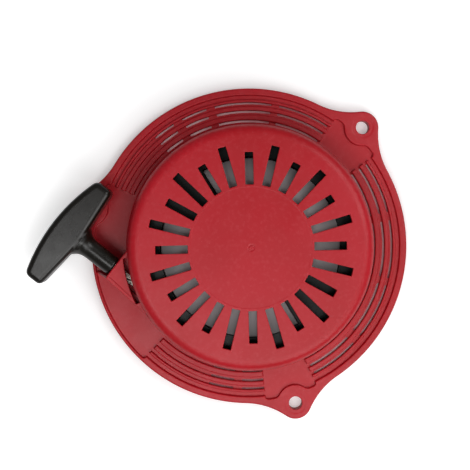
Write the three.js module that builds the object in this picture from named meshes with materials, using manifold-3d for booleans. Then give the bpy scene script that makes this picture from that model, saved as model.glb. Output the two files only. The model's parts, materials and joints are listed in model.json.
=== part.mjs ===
// Recoil starter for a small engine: a slotted dome housing on a louvred mounting flange, a rope
// reel on the housing's centre post, two ratchet pawls, and a T-grip on the starter rope.
//
// Millimetres, +Z up. The origin is on the reel's axis, at the plane where the housing's rim and
// ears meet the engine; the setting screw's head ends in the same plane. The rope runs along +X of
// the "pull frame", a frame turned about Z by PULL_ANGLE, at y = ROPE_OFFSET and z = ROPE_Z.

import * as THREE from 'three';
import { mergeVertices } from 'three/addons/utils/BufferGeometryUtils.js';
import Module from 'manifold-3d';

const wasm = await Module();
wasm.setup();

// ---------------------------------------------------------------- driving dimensions

const RIM_R = 95;
const RIM_WIDTH = 4;
const RIM_TOP = 8;
const RIM_EDGE = 0.8;
const FLOOR_TOP = 6;
const FLOOR_BOTTOM = 3.5;
const RECESS_R = 93.3;

const DOME_TOP = 40;
const DOME_BASE_R = 73.5;
const DOME_SHOULDER_R = 71.6;
const DOME_SHOULDER_Z = 33.2;
const DOME_FLAT_R = 65;
const DOME_SHELL = 2.5;

// Louvre ribs: inner and outer radius of each; a through slot lies just inside each rib.
const RIBS = [[76.1, 79.1], [81.8, 84.3], [86.7, 88.2]];
const SLOT_WIDTHS = [1.8, 1.8, 1.4];
// Angles in degrees, counter-clockwise from +X, between which the louvre slots are open.
const LOUVRE_SPANS = [
  [57, 78], [81, 104], [107.5, 118], [122, 131], [253.5, 263.5],
  [267, 276], [297, 317], [321, 344], [347, 370.5], [374, 395],
];
// Smooth sectors without ribs, at floor level, beside the ears and the rope outlet.
const SMOOTH_SECTORS = [[36, 56], [156, 227], [276, 296]];

const VENT_COUNT = 24;
const VENT_WIDTH = 4.75;
const VENT_TURN = 1.4;
const SHORT_VENT = [36.35, 55];
const LONG_VENT = [36.35, 59.9];

const EAR_ANGLES = [46.4, 166.4, 286.4];
const EAR_CENTRE_R = 98.9;
const EAR_R = 9.65;
const EAR_HOLE_R = 4;
const EAR_FLARE_R = 46;
const EAR_BOSS_R = 10.3;
const EAR_BOSS_CENTRE_R = 98.1;

const PULL_ANGLE = 142;
const ROPE_OFFSET = 58.5;
const ROPE_Z = 23;
const ROPE_R = 2.25;
const ROPE_PITCH = 4.7;
const COIL_TURNS = 2.5;

const BLOCK_TOP = 29.5;
const BLOCK_FRONT = 55.7;
const BLOCK_WALL = 3;
// Two points of the block's outer side, [x, y] in the pull frame; the second is the web's end.
const BLOCK_SIDE = [[30, 68.3], [66.5, 65.4]];
const WEB_WALL = 1.3;
const CHANNEL_HALF = 5.2;
const CHANNEL_Z = [17.8, 28];
const OUTLET_HOLE_R = 4.2;
// Radii and pull-frame angles of the open arc between the block and the dome.
const OUTLET_ARC = [71.9, 75.1, 43, 64.4];

const POST_UPPER_R = 10;
const POST_R = 7;
const POST_STEP_Z = 24.6;
const POST_BOTTOM = 13;
const POST_BORE_R = 4.9;
const POST_BORE_TOP = 31;
const SPRING_NOTCH_TOP = 34.6;

const RUN_GAP = 0.3;
const PAWL_SWING = 28;
const PIVOT_R = 21;
const PIVOT_ANGLES = [20, 200];
const GUIDE_R = 17.5;

// The grip in the pull frame. Its back and front lines are given at the middle and at the ends.
const GRIP_X = 88.9;
const GRIP_HALF = 34.2;
const GRIP_THICK = 18.5;
const GRIP_BACK = 99.2;
const GRIP_BACK_END = 93.6;
const GRIP_FRONT = 79.4;
const GRIP_FRONT_END = 82.6;
const GRIP_EDGE = 2.5;
const STEM_TIP = 56.1;
const STEM_R = 5.8;
const STEM_FLARE_R = 8.6;
const STEM_FLARE = [73.5, 80.5];
// The open pocket for the knot: from POCKET_FLOOR out through the grip's back.
const POCKET_FLOOR = 85.5;
const POCKET_HALF_WIDTH = 9;
const POCKET_HALF_HEIGHT = 5;
const KNOT_R = 4.2;

const ROUND = 48;
const SMALL_ROUND = 20;

// ---------------------------------------------------------------- solids and booleans

const rad = THREE.MathUtils.degToRad;

function solid(geometry) {
  geometry.deleteAttribute('normal');
  geometry.deleteAttribute('uv');
  const merged = mergeVertices(geometry, 1e-4);
  const old = merged.index.array;
  const kept = [];
  for (let i = 0; i < old.length; i += 3) {
    const [a, b, c] = [old[i], old[i + 1], old[i + 2]];
    if (a !== b && b !== c && c !== a) kept.push(a, b, c);
  }
  const mesh = new wasm.Mesh({
    numProp: 3,
    vertProperties: new Float32Array(merged.attributes.position.array),
    triVerts: new Uint32Array(kept),
  });
  return new wasm.Manifold(mesh);
}

function geometryOf(body) {
  const mesh = body.getMesh();
  const geometry = new THREE.BufferGeometry();
  geometry.setAttribute('position', new THREE.BufferAttribute(mesh.vertProperties, 3));
  geometry.setIndex(new THREE.BufferAttribute(mesh.triVerts, 1));
  geometry.computeVertexNormals();
  return geometry;
}

const joined = (bodies) => bodies.reduce((all, body) => all.add(body));
const cut = (body, tools) => body.subtract(joined(tools));

// ---------------------------------------------------------------- basic shapes

// A solid of revolution about Z from a closed loop of [radius, z] points, listed anticlockwise.
function revolve(points, segments = ROUND) {
  const loop = [...points, points[0]].map(([r, z]) => new THREE.Vector2(r, z));
  const geometry = new THREE.LatheGeometry(loop, segments);
  geometry.rotateX(Math.PI / 2);
  return geometry;
}

function ring(inner, outer, bottom, top, segments = ROUND) {
  return revolve([[inner, bottom], [outer, bottom], [outer, top], [inner, top]], segments);
}

function disc(radius, bottom, top, segments = SMALL_ROUND) {
  const geometry = new THREE.CylinderGeometry(radius, radius, top - bottom, segments);
  geometry.rotateX(Math.PI / 2);
  geometry.translate(0, 0, (top + bottom) / 2);
  return geometry;
}

function prism(shape, bottom, top, curveSegments = 12) {
  const settings = { depth: top - bottom, bevelEnabled: false, curveSegments };
  const geometry = new THREE.ExtrudeGeometry(shape, settings);
  geometry.translate(0, 0, bottom);
  return geometry;
}

function box(x0, x1, y0, y1, z0, z1) {
  const geometry = new THREE.BoxGeometry(x1 - x0, y1 - y0, z1 - z0);
  geometry.translate((x0 + x1) / 2, (y0 + y1) / 2, (z0 + z1) / 2);
  return geometry;
}

// A cylinder lying along +X, from x0 to x1, on the line y, z.
function rod(radius, x0, x1, y, z, segments = SMALL_ROUND) {
  const geometry = new THREE.CylinderGeometry(radius, radius, x1 - x0, segments);
  geometry.rotateZ(-Math.PI / 2);
  geometry.translate((x0 + x1) / 2, y, z);
  return geometry;
}

function polygon(points) {
  return new THREE.Shape(points.map(([x, y]) => new THREE.Vector2(x, y)));
}

// Part of a flat ring between two angles in degrees.
function sectorShape(inner, outer, from, to, step = 7.5) {
  const count = Math.max(1, Math.round((to - from) / step));
  const points = [];
  for (let i = 0; i <= count; i += 1) {
    const angle = rad(from + (to - from) * i / count);
    points.push([outer * Math.cos(angle), outer * Math.sin(angle)]);
  }
  for (let i = count; i >= 0; i -= 1) {
    const angle = rad(from + (to - from) * i / count);
    points.push([inner * Math.cos(angle), inner * Math.sin(angle)]);
  }
  return polygon(points);
}

const sector = (inner, outer, from, to, bottom, top) => (
  prism(sectorShape(inner, outer, from, to), bottom, top)
);

function turned(geometry, degrees) {
  geometry.rotateZ(rad(degrees));
  return geometry;
}

const inPullFrame = (geometry) => turned(geometry, PULL_ANGLE);

// ---------------------------------------------------------------- housing

// Outer or inner line of the dome's section, from its base to the top: a drafted wall, a round
// shoulder and the flat top. inset is the shell thickness to move inwards.
function domeLine(baseZ, inset) {
  const steps = 4;
  const shoulderR = DOME_SHOULDER_R - inset;
  const shoulderZ = DOME_SHOULDER_Z - inset / 2;
  const line = [[DOME_BASE_R - inset, baseZ], [shoulderR, shoulderZ]];
  for (let i = 1; i <= steps; i += 1) {
    const angle = Math.PI / 2 * i / steps;
    const r = DOME_FLAT_R + (shoulderR - DOME_FLAT_R) * Math.cos(angle);
    line.push([r, shoulderZ + (DOME_TOP - inset - shoulderZ) * Math.sin(angle)]);
  }
  return line;
}

// The whole revolved shell: rim, louvre floor with its ribs, dome and centre post.
function housingShell() {
  const rimInner = RIM_R - RIM_WIDTH;
  const outside = [[rimInner, 0], [RIM_R, 0], [RIM_R, RIM_TOP - RIM_EDGE], [RIM_R - RIM_EDGE, RIM_TOP]];
  outside.push([rimInner, RIM_TOP], [rimInner, FLOOR_TOP]);
  for (const [inner, outer] of [...RIBS].reverse()) {
    outside.push([outer, FLOOR_TOP], [outer, RIM_TOP], [inner, RIM_TOP], [inner, FLOOR_TOP]);
  }
  outside.push(...domeLine(FLOOR_TOP, 0));
  const inside = domeLine(FLOOR_BOTTOM, DOME_SHELL).reverse();
  const axis = [[0, DOME_TOP], [0, POST_BOTTOM], [POST_R, POST_BOTTOM], [POST_R, POST_STEP_Z]];
  axis.push([POST_UPPER_R, POST_STEP_Z], [POST_UPPER_R, DOME_TOP - DOME_SHELL]);
  const loop = [...outside, ...axis, ...inside, [rimInner, FLOOR_BOTTOM]];
  const line = loop.map(([r, z]) => new THREE.Vector2(r, z));
  const foot = line.findIndex((point) => point.x === 0) + 1;
  // The loop is opened at the axis: it starts at the post's foot and ends at the dome's centre.
  const open = [...line.slice(foot), ...line.slice(0, foot)];
  const geometry = new THREE.LatheGeometry(open, ROUND);
  geometry.rotateX(Math.PI / 2);
  return solid(geometry);
}

// Plan of one ear: its round end and two hollow flares that run into the rim, along +X.
function earShape() {
  const flareX = RIM_R + EAR_FLARE_R;
  const reach = EAR_R + EAR_FLARE_R;
  const cosine = (flareX ** 2 + EAR_CENTRE_R ** 2 - reach ** 2) / (2 * flareX * EAR_CENTRE_R);
  const spread = Math.acos(cosine);
  const flare = new THREE.Vector2(flareX * Math.cos(spread), flareX * Math.sin(spread));
  const toEar = Math.atan2(-flare.y, EAR_CENTRE_R - flare.x);
  const toRim = spread + Math.PI;
  const inner = RIM_R - RIM_WIDTH + 1;
  const shape = new THREE.Shape();
  shape.absarc(0, 0, inner, spread, -spread, true);
  shape.absarc(flare.x, -flare.y, EAR_FLARE_R, -toRim, -toEar, true);
  shape.absarc(EAR_CENTRE_R, 0, EAR_R, -toEar - Math.PI, toEar + Math.PI, false);
  shape.absarc(flare.x, flare.y, EAR_FLARE_R, toEar, toRim - 2 * Math.PI, true);
  return shape;
}

// Round column about an ear's hole; at the ear it stands up from the louvre floor.
function earColumn(angle, bottom, top) {
  const column = disc(EAR_BOSS_R, bottom, top, 28);
  column.translate(EAR_BOSS_CENTRE_R, 0, 0);
  return solid(turned(column, angle));
}

const ear = (angle) => (
  solid(turned(prism(earShape(), 0, RIM_TOP, 6), angle)).add(earColumn(angle, 0, RIM_TOP))
);

function earHole(angle) {
  const hole = disc(EAR_HOLE_R, -1, RIM_TOP + 1);
  hole.translate(EAR_CENTRE_R, 0, 0);
  return solid(turned(hole, angle));
}

// The ring area that a smooth sector takes out above the louvre floor, around the ear's boss.
function smoothSector([from, to]) {
  const area = solid(sector(DOME_BASE_R - 0.1, RECESS_R, from, to, FLOOR_TOP, RIM_TOP + 1));
  return cut(area, EAR_ANGLES.map((angle) => earColumn(angle, 0, RIM_TOP + 2)));
}

function louvreSlots() {
  const slots = [];
  for (const [from, to] of LOUVRE_SPANS) {
    RIBS.forEach(([inner], i) => {
      const slot = sector(inner - SLOT_WIDTHS[i], inner, from, to, FLOOR_BOTTOM - 1, FLOOR_TOP + 1);
      slots.push(solid(slot));
    });
  }
  return slots;
}

function vents() {
  const slots = [];
  for (let i = 0; i < VENT_COUNT; i += 1) {
    const [inner, outer] = i % 2 ? LONG_VENT : SHORT_VENT;
    const slot = box(inner, outer, -VENT_WIDTH / 2, VENT_WIDTH / 2, DOME_TOP - 6, DOME_TOP + 1);
    slots.push(solid(turned(slot, VENT_TURN + i * 360 / VENT_COUNT)));
  }
  return slots;
}

// Y of the outlet block's outer side at a given x, in the pull frame.
function blockSide(x) {
  const [[x0, y0], [x1, y1]] = BLOCK_SIDE;
  return y0 + (y1 - y0) * (x - x0) / (x1 - x0);
}

// Thin wall beside the grip's stem, from the block to the rim; its top edge slopes down.
function outletWeb() {
  const [end, endY] = BLOCK_SIDE[1];
  const start = BLOCK_FRONT - 2;
  const low = FLOOR_TOP - 1;
  const high = BLOCK_TOP - 1;
  const side = polygon([[start, low], [end, low], [end, RIM_TOP], [BLOCK_FRONT, high], [start, high]]);
  const web = prism(side, 0, WEB_WALL);
  web.rotateX(Math.PI / 2);
  web.translate(-BLOCK_FRONT, 0, 0);
  web.rotateZ(Math.atan2(endY - blockSide(BLOCK_FRONT), end - BLOCK_FRONT));
  web.translate(BLOCK_FRONT, blockSide(BLOCK_FRONT), 0);
  return solid(inPullFrame(web));
}

// The rope outlet: a flat-topped wedge between the dome's wall and its own outer side.
function outletBlock() {
  const backX = 26;
  const insideY = 40;
  const plan = polygon([
    [backX, insideY], [BLOCK_FRONT, insideY],
    [BLOCK_FRONT, blockSide(BLOCK_FRONT)], [backX, blockSide(backX)],
  ]);
  const block = solid(inPullFrame(prism(plan, FLOOR_BOTTOM + 0.5, BLOCK_TOP)));
  const inner = DOME_SHOULDER_R - 0.6;
  const outsideDome = solid(ring(inner, RIM_R + EAR_R, 0, DOME_TOP));
  return joined([block, outletWeb()]).intersect(outsideDome);
}

// The channel for the rope through the block and the dome's wall, and the arc-shaped opening
// between the block's top and the dome.
function outletChannel() {
  const channelEnd = BLOCK_FRONT - BLOCK_WALL;
  const [y0, y1] = [ROPE_OFFSET - CHANNEL_HALF, ROPE_OFFSET + CHANNEL_HALF];
  const channel = box(20, channelEnd, y0, y1, ...CHANNEL_Z);
  const hole = rod(OUTLET_HOLE_R, channelEnd - 1, BLOCK_FRONT + 1, ROPE_OFFSET, ROPE_Z);
  const arc = sector(...OUTLET_ARC, ROPE_Z - 1, BLOCK_TOP + 1);
  return [channel, hole, arc].map((geometry) => solid(inPullFrame(geometry)));
}

// The post's bore for the threaded insert, and the notch that holds the mainspring's hook.
function postBore() {
  const bore = disc(POST_BORE_R, POST_BOTTOM - 1, POST_BORE_TOP);
  const notch = box(2, POST_UPPER_R + 1, -1, 1, POST_STEP_Z - 1, SPRING_NOTCH_TOP);
  return [bore, notch].map(solid);
}

function housing() {
  let body = joined([housingShell(), ...EAR_ANGLES.map(ear)]);
  body = cut(body, SMOOTH_SECTORS.map(smoothSector));
  body = body.add(outletBlock());
  const openings = [...louvreSlots(), ...vents(), ...outletChannel()];
  return cut(body, [...openings, ...postBore(), ...EAR_ANGLES.map(earHole)]);
}

function threadedInsert() {
  return cut(solid(disc(4.6, POST_BOTTOM + 0.3, 30)), [solid(disc(3.3, 0, 40))]);
}

// Flanged eyelet in the outlet wall, its flange on the inner side. Pull frame.
function ropeGuide() {
  const wall = BLOCK_FRONT - BLOCK_WALL;
  const tube = solid(rod(3.9, wall - 0.8, BLOCK_FRONT - 0.2, ROPE_OFFSET, ROPE_Z));
  const flange = solid(rod(4.7, wall - 1.1, wall - 0.3, ROPE_OFFSET, ROPE_Z));
  return cut(tube.add(flange), [solid(rod(2.9, 40, 60, ROPE_OFFSET, ROPE_Z))]);
}

// ---------------------------------------------------------------- reel and rope

const REEL_R = 63.5;
const HUB_R = 11;
const HUB_BOTTOM = 13.8;
const WEB = [21, 24];
const DRUM = [29, 31.5];
const DRUM_TOP = 36.6;
const GROOVE_WALL = [41.8, 44];
const GROOVE = [19.5, 26.5];
const REEL_BOTTOM = 17.5;
const LAND_TOP = 32;
const LAND_R = 52;
const FLANGE_TOP = 28;
const BOSS_BOTTOM = 17.2;
const BOSS_R = 7;
const SPRING_POCKET_R = 5.3;
const PIVOT_PIN_R = 2.5;

// The wound rope, in the pull frame: it starts where the straight run meets the coil and winds
// anticlockwise and inwards to its knot.
const coilAngle = (turns) => 90 + 360 * turns;
const coilRadius = (turns) => ROPE_OFFSET - ROPE_PITCH * turns;
const KNOT_ANGLE = PULL_ANGLE + coilAngle(COIL_TURNS);

function reelShell() {
  const bore = POST_R + RUN_GAP;
  return solid(revolve([
    [bore, HUB_BOTTOM], [HUB_R, HUB_BOTTOM], [HUB_R, WEB[0]],
    [DRUM[0], WEB[0]], [DRUM[0], REEL_BOTTOM], [DRUM[1], REEL_BOTTOM], [DRUM[1], GROOVE[1]],
    [GROOVE_WALL[0], GROOVE[1]], [GROOVE_WALL[0], REEL_BOTTOM], [REEL_R, REEL_BOTTOM],
    [REEL_R, GROOVE[0]], [GROOVE_WALL[1], GROOVE[0]], [GROOVE_WALL[1], GROOVE[1]],
    [REEL_R, GROOVE[1]], [REEL_R, FLANGE_TOP], [LAND_R, FLANGE_TOP], [LAND_R, LAND_TOP],
    [DRUM[1], LAND_TOP], [DRUM[1], DRUM_TOP], [DRUM[0], DRUM_TOP], [DRUM[0], WEB[1]], [bore, WEB[1]],
  ]));
}

function pivotBoss(angle) {
  const boss = disc(BOSS_R, BOSS_BOTTOM, WEB[0] + 1);
  boss.translate(PIVOT_R, 0, 0);
  return solid(turned(boss, angle));
}

function pivotHoles(angle) {
  const pocket = disc(SPRING_POCKET_R, BOSS_BOTTOM - 1, WEB[0] - 0.6);
  const hole = disc(PIVOT_PIN_R + RUN_GAP, BOSS_BOTTOM - 1, WEB[1] + 1);
  return [pocket, hole].map((geometry) => {
    geometry.translate(PIVOT_R, 0, 0);
    return solid(turned(geometry, angle));
  });
}

// Stiffening ribs between the drum and the groove wall, with the rope's knot midway between two.
function reelRibs() {
  const count = 12;
  const ribs = [];
  for (let i = 0; i < count; i += 1) {
    const rib = box(DRUM[1] - 0.5, GROOVE_WALL[0] + 0.5, -0.9, 0.9, REEL_BOTTOM + 1, GROOVE[1] + 0.5);
    ribs.push(solid(turned(rib, KNOT_ANGLE + (i + 0.5) * 360 / count)));
  }
  return ribs;
}

// Two low sectors in the raised land, opposite each other, in line with the pull.
function landRecesses() {
  const half = 20;
  return [PULL_ANGLE, PULL_ANGLE + 180].map((angle) => (
    solid(sector(DRUM[1] + 1.5, LAND_R + 1, angle - half, angle + half, FLANGE_TOP, LAND_TOP + 1))
  ));
}

// The rope's way from the groove to its knot inside the reel. Pull frame.
function knotHole() {
  const hole = rod(ROPE_R + 0.6, 30, 46, 0, ROPE_Z, 12);
  hole.rotateZ(rad(coilAngle(COIL_TURNS)));
  return solid(inPullFrame(hole));
}

function reel() {
  const body = joined([reelShell(), ...PIVOT_ANGLES.map(pivotBoss), ...reelRibs()]);
  const holes = PIVOT_ANGLES.flatMap(pivotHoles);
  const outside = solid(ring(DRUM[1], 50, 10, 40, 60));
  return cut(body, [...holes, ...landRecesses(), knotHole().intersect(outside)]);
}

// A round bar along a curve; its section has twice halfSides corners.
function bar(curve, radius, steps, halfSides = 4) {
  const section = new THREE.Shape();
  section.absarc(0, 0, radius, 0, 2 * Math.PI, false);
  const settings = { steps, curveSegments: halfSides, bevelEnabled: false, extrudePath: curve };
  return new THREE.ExtrudeGeometry(section, settings);
}

class RopeCoil extends THREE.Curve {
  getPoint(t, target = new THREE.Vector3()) {
    const turns = COIL_TURNS * t;
    const angle = rad(coilAngle(turns));
    const r = coilRadius(turns);
    return target.set(r * Math.cos(angle), r * Math.sin(angle), ROPE_Z);
  }
}

const ropeCoil = () => inPullFrame(bar(new RopeCoil(), ROPE_R, 70));

// The straight rope from the reel's edge through the outlet and the stem to the grip's knot.
function ropeRun() {
  return inPullFrame(rod(ROPE_R, 31, GRIP_X - 1.2, ROPE_OFFSET, ROPE_Z, 10));
}

// A stopper knot as a barrel with rounded ends, lying along +X from x0.
function knot(x0, length, radius, y, z) {
  const chamfer = 1.4;
  const line = [[0, x0], [radius - chamfer, x0], [radius, x0 + chamfer], [radius, x0 + length - chamfer]];
  line.push([radius - chamfer, x0 + length], [0, x0 + length]);
  const geometry = new THREE.LatheGeometry(line.map(([r, x]) => new THREE.Vector2(r, x)), 12);
  geometry.rotateZ(-Math.PI / 2);
  geometry.translate(0, y, z);
  return geometry;
}

function reelKnot() {
  const geometry = knot(32.6, 8.4, KNOT_R, 0, 0);
  geometry.translate(0, 0, ROPE_Z - 0.8);
  geometry.rotateZ(rad(coilAngle(COIL_TURNS)));
  return inPullFrame(geometry);
}

// ---------------------------------------------------------------- mainspring

// Flat strip wound from the post's notch out to the reel's drum, with a hook at its inner end.
function mainspring() {
  const thick = 0.7;
  const turns = 7;
  const perTurn = 20;
  const inner = 11.2;
  const outer = 28;
  const side = (offset) => {
    const line = [];
    for (let i = 0; i <= turns * perTurn; i += 1) {
      const angle = 2 * Math.PI * i / perTurn;
      const r = inner + (outer - inner) * i / (turns * perTurn) + offset;
      line.push([r * Math.cos(angle), r * Math.sin(angle)]);
    }
    return line;
  };
  const strip = [...side(thick), ...side(0).reverse()];
  const hookEnd = 5.6;
  strip.push([hookEnd, 0], [hookEnd, -thick], [inner + thick, -thick]);
  return prism(polygon(strip), 25, 34);
}

// ---------------------------------------------------------------- ratchet

const PAWL_Z = [11, 15.6];
const CAM_PIN = [-1, -6];
const CAM_PIN_R = 1.8;
const CAM_GAP = 0.5;
const GUIDE_Z = [8.3, 9.7];
const GUIDE_LOBE_R = 5.2;
const GUIDE_HOLE_R = 5.3;
const PAWL_SPRING_R = 4.1;
const WASHER_R = [5.9, 9.2];

// Plan of a pawl: a round eye about its pivot and a tapering tail with a hooked tip.
function pawlShape() {
  const eye = 4.9;
  const shape = new THREE.Shape();
  shape.moveTo(eye, 0);
  shape.absarc(0, 0, eye, 0, Math.PI, false);
  shape.quadraticCurveTo(-4.6, -9, -6.2, -18.5);
  shape.lineTo(-2.2, -22);
  shape.lineTo(1.4, -19.6);
  shape.quadraticCurveTo(4.2, -9, eye, 0);
  return shape;
}

// One pawl about its own pivot: lever, pivot pin upwards and cam pin downwards.
function pawl() {
  const lever = solid(prism(pawlShape(), PAWL_Z[0], PAWL_Z[1], 8));
  const pivot = solid(disc(PIVOT_PIN_R, PAWL_Z[0] + 1, WEB[1] - 0.5, 16));
  const cam = disc(CAM_PIN_R, GUIDE_Z[0] - 0.3, PAWL_Z[0] + 1, 12);
  cam.translate(CAM_PIN[0], CAM_PIN[1], 0);
  return joined([lever, pivot, solid(cam)]);
}

// Centre of the pawl's cam pin, seen from the guide, when the pawl has swung by a given angle.
function camPoint(swing) {
  const pin = new THREE.Vector2(...CAM_PIN).rotateAround(new THREE.Vector2(), rad(swing));
  pin.x += PIVOT_R;
  return pin.rotateAround(new THREE.Vector2(), rad(-swing));
}

// A track of the given half width that follows the cam pin's path over the guide.
function camTrack(half, angle, bottom, top) {
  const steps = 6;
  const pieces = [];
  for (let i = 0; i < steps; i += 1) {
    const a = camPoint(PAWL_SWING * i / steps);
    const b = camPoint(PAWL_SWING * (i + 1) / steps);
    const across = b.clone().sub(a).normalize().rotateAround(new THREE.Vector2(), Math.PI / 2);
    across.multiplyScalar(half);
    const near = [a.clone().sub(across), b.clone().sub(across)];
    const far = [b.clone().add(across), a.clone().add(across)];
    pieces.push(solid(prism(new THREE.Shape([...near, ...far]), bottom, top)));
  }
  for (let i = 0; i <= steps; i += 1) {
    const centre = camPoint(PAWL_SWING * i / steps);
    const round = disc(half, bottom, top, 16);
    round.translate(centre.x, centre.y, 0);
    pieces.push(solid(round));
  }
  return joined(pieces).rotate([0, 0, angle]);
}

// A round plate with two lobes, each with a slot for one pawl's cam pin.
function ratchetGuide() {
  const [bottom, top] = GUIDE_Z;
  const plate = solid(disc(GUIDE_R, bottom, top, 40));
  const lobes = PIVOT_ANGLES.map((angle) => camTrack(GUIDE_LOBE_R, angle, bottom, top));
  const slots = PIVOT_ANGLES.map((angle) => camTrack(CAM_PIN_R + CAM_GAP, angle, bottom - 1, top + 1));
  const hole = solid(disc(GUIDE_HOLE_R, bottom - 1, top + 1));
  return cut(joined([plate, ...lobes]), [hole, ...slots]);
}

// Torsion spring around the pawl's pivot pin, with a leg that lies along the pawl.
class PawlSpringPath extends THREE.Curve {
  getPoint(t, target = new THREE.Vector3()) {
    const coilPart = 0.8;
    const r = PAWL_SPRING_R;
    const turns = 2.25;
    const legEnd = new THREE.Vector3(r, -9, PAWL_Z[1] + 0.7);
    const legStart = new THREE.Vector3(r, 0, PAWL_Z[1] + 1.2);
    if (t < coilPart) {
      const left = 1 - t / coilPart;
      const angle = 2 * Math.PI * turns * left;
      return target.set(r * Math.cos(angle), r * Math.sin(angle), legStart.z + 2.6 * left);
    }
    return target.lerpVectors(legStart, legEnd, (t - coilPart) / (1 - coilPart));
  }
}

const pawlSpring = () => bar(new PawlSpringPath(), 0.4, 36, 3);

// Wave washer: a thin ring whose height follows three waves.
function frictionSpring() {
  const waves = 3;
  const height = 0.3;
  const geometry = ring(...WASHER_R, 10.55, 10.95, 36);
  const position = geometry.attributes.position;
  for (let i = 0; i < position.count; i += 1) {
    const angle = Math.atan2(position.getY(i), position.getX(i));
    position.setZ(i, position.getZ(i) + height * Math.cos(waves * angle));
  }
  return geometry;
}

const thrustWasher = () => ring(3.4, 10.5, 11.75, 12.8, 32);

// Shouldered flange screw: hex head, flange, the shoulder the ratchet guide turns on, and shank.
function settingScrew() {
  const head = disc(5.6, 0, 6, 6);
  const flange = disc(9, 5.8, 8);
  const shoulder = disc(5, 7.5, 11.5);
  const shank = disc(2.9, 11, 28, 16);
  return joined([head, flange, shoulder, shank].map(solid));
}

// ---------------------------------------------------------------- grip (pull frame)

// Plan of the grip about GRIP_X, moved inwards by inset: a bowed back, nearly straight inner
// sides, and rounded ends.
function gripShape(inset) {
  const corner = 3;
  const half = GRIP_HALF - inset;
  const [back, backEnd] = [GRIP_BACK - GRIP_X - inset, GRIP_BACK_END - GRIP_X - inset];
  const [front, frontEnd] = [GRIP_FRONT - GRIP_X + inset, GRIP_FRONT_END - GRIP_X + inset];
  const backCorner = backEnd + 0.6;
  const shape = new THREE.Shape();
  shape.moveTo(front, 0);
  shape.lineTo(frontEnd, -half + corner);
  shape.quadraticCurveTo(frontEnd, -half, frontEnd + corner, -half);
  shape.lineTo(backEnd - corner, -half);
  shape.quadraticCurveTo(backEnd, -half, backCorner, -half + corner);
  shape.quadraticCurveTo(back * 2 - backEnd, 0, backCorner, half - corner);
  shape.quadraticCurveTo(backEnd, half, backEnd - corner, half);
  shape.lineTo(frontEnd + corner, half);
  shape.quadraticCurveTo(frontEnd, half, frontEnd, half - corner);
  return shape;
}

function gripBar() {
  const geometry = new THREE.ExtrudeGeometry(gripShape(GRIP_EDGE), {
    depth: GRIP_THICK - 2 * GRIP_EDGE, bevelEnabled: true, bevelThickness: GRIP_EDGE,
    bevelSize: GRIP_EDGE, bevelSegments: 2, curveSegments: 8,
  });
  geometry.translate(GRIP_X, ROPE_OFFSET, ROPE_Z - GRIP_THICK / 2 + GRIP_EDGE);
  return geometry;
}

// The round stem between the bar and the outlet, wider where it meets the bar.
function gripStem() {
  const [near, far] = STEM_FLARE;
  const stem = rod(STEM_R, STEM_TIP, GRIP_X - 5, ROPE_OFFSET, ROPE_Z, 24);
  const flare = new THREE.CylinderGeometry(STEM_FLARE_R, STEM_R - 0.1, far - near, 24);
  flare.rotateZ(-Math.PI / 2);
  flare.translate((near + far) / 2, ROPE_OFFSET, ROPE_Z);
  return [stem, flare];
}

// A box about the rope's line, from x0 to x1.
function ropeBox(x0, x1, halfWidth, halfHeight) {
  const [y0, y1] = [ROPE_OFFSET - halfWidth, ROPE_OFFSET + halfWidth];
  return box(x0, x1, y0, y1, ROPE_Z - halfHeight, ROPE_Z + halfHeight);
}

function gripHandle() {
  const bore = rod(ROPE_R + 0.5, STEM_TIP - 1, POCKET_FLOOR + 1, ROPE_OFFSET, ROPE_Z, 12);
  const pocket = ropeBox(POCKET_FLOOR, GRIP_BACK + 1.8, POCKET_HALF_WIDTH, POCKET_HALF_HEIGHT);
  return cut(joined([gripBar(), ...gripStem()].map(solid)), [solid(bore), solid(pocket)]);
}

// Steel plate on the pocket's floor, under the knot.
function gripReinforcement() {
  const [near, far] = [POCKET_FLOOR + 0.3, POCKET_FLOOR + 1.7];
  const plate = ropeBox(near, far, POCKET_HALF_WIDTH - 1, POCKET_HALF_HEIGHT - 0.6);
  return cut(solid(plate), [solid(rod(ROPE_R + 0.4, near - 1, far + 1, ROPE_OFFSET, ROPE_Z, 12))]);
}

const gripKnot = () => knot(GRIP_X - 1.1, 8, KNOT_R, ROPE_OFFSET, ROPE_Z);

// ---------------------------------------------------------------- materials and assembly

const material = (color, roughness, metalness = 0) => (
  new THREE.MeshStandardMaterial({ color, roughness, metalness })
);

const PAINT = {
  red: () => material(0xb8323a, 0.38),
  blackGloss: () => material(0x1d1f1e, 0.28),
  grip: () => material(0x2f2d28, 0.45),
  rope: () => material(0xe8d8c8, 0.9),
  steel: () => material(0x9a9c9e, 0.35, 1),
  springSteel: () => material(0x4e5357, 0.3, 1),
  zinc: () => material(0xb9b7a6, 0.4, 1),
  brass: () => material(0xb08d4c, 0.35, 1),
};

const root = new THREE.Group();

function place(name, shape, paint, parent = root) {
  const geometry = shape.isBufferGeometry ? shape : geometryOf(shape);
  const mesh = new THREE.Mesh(geometry, PAINT[paint]());
  mesh.name = name;
  parent.add(mesh);
  return mesh;
}

const pullFrame = new THREE.Group();
pullFrame.rotation.z = rad(PULL_ANGLE);
root.add(pullFrame);

place('housing', housing(), 'red');
place('threaded_insert', threadedInsert(), 'brass');
place('rope_guide', ropeGuide(), 'steel', pullFrame);
place('mainspring', mainspring(), 'springSteel');
place('reel', reel(), 'blackGloss');
place('rope_coil', ropeCoil(), 'rope');
place('rope_run', ropeRun(), 'rope');
place('reel_knot', reelKnot(), 'rope');

PIVOT_ANGLES.forEach((angle, i) => {
  const arm = new THREE.Group();
  arm.rotation.z = rad(angle);
  root.add(arm);
  place(`pawl_${i + 1}`, pawl(), 'steel', arm).position.x = PIVOT_R;
  place(`pawl_spring_${i + 1}`, pawlSpring(), 'springSteel', arm).position.x = PIVOT_R;
});

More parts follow.
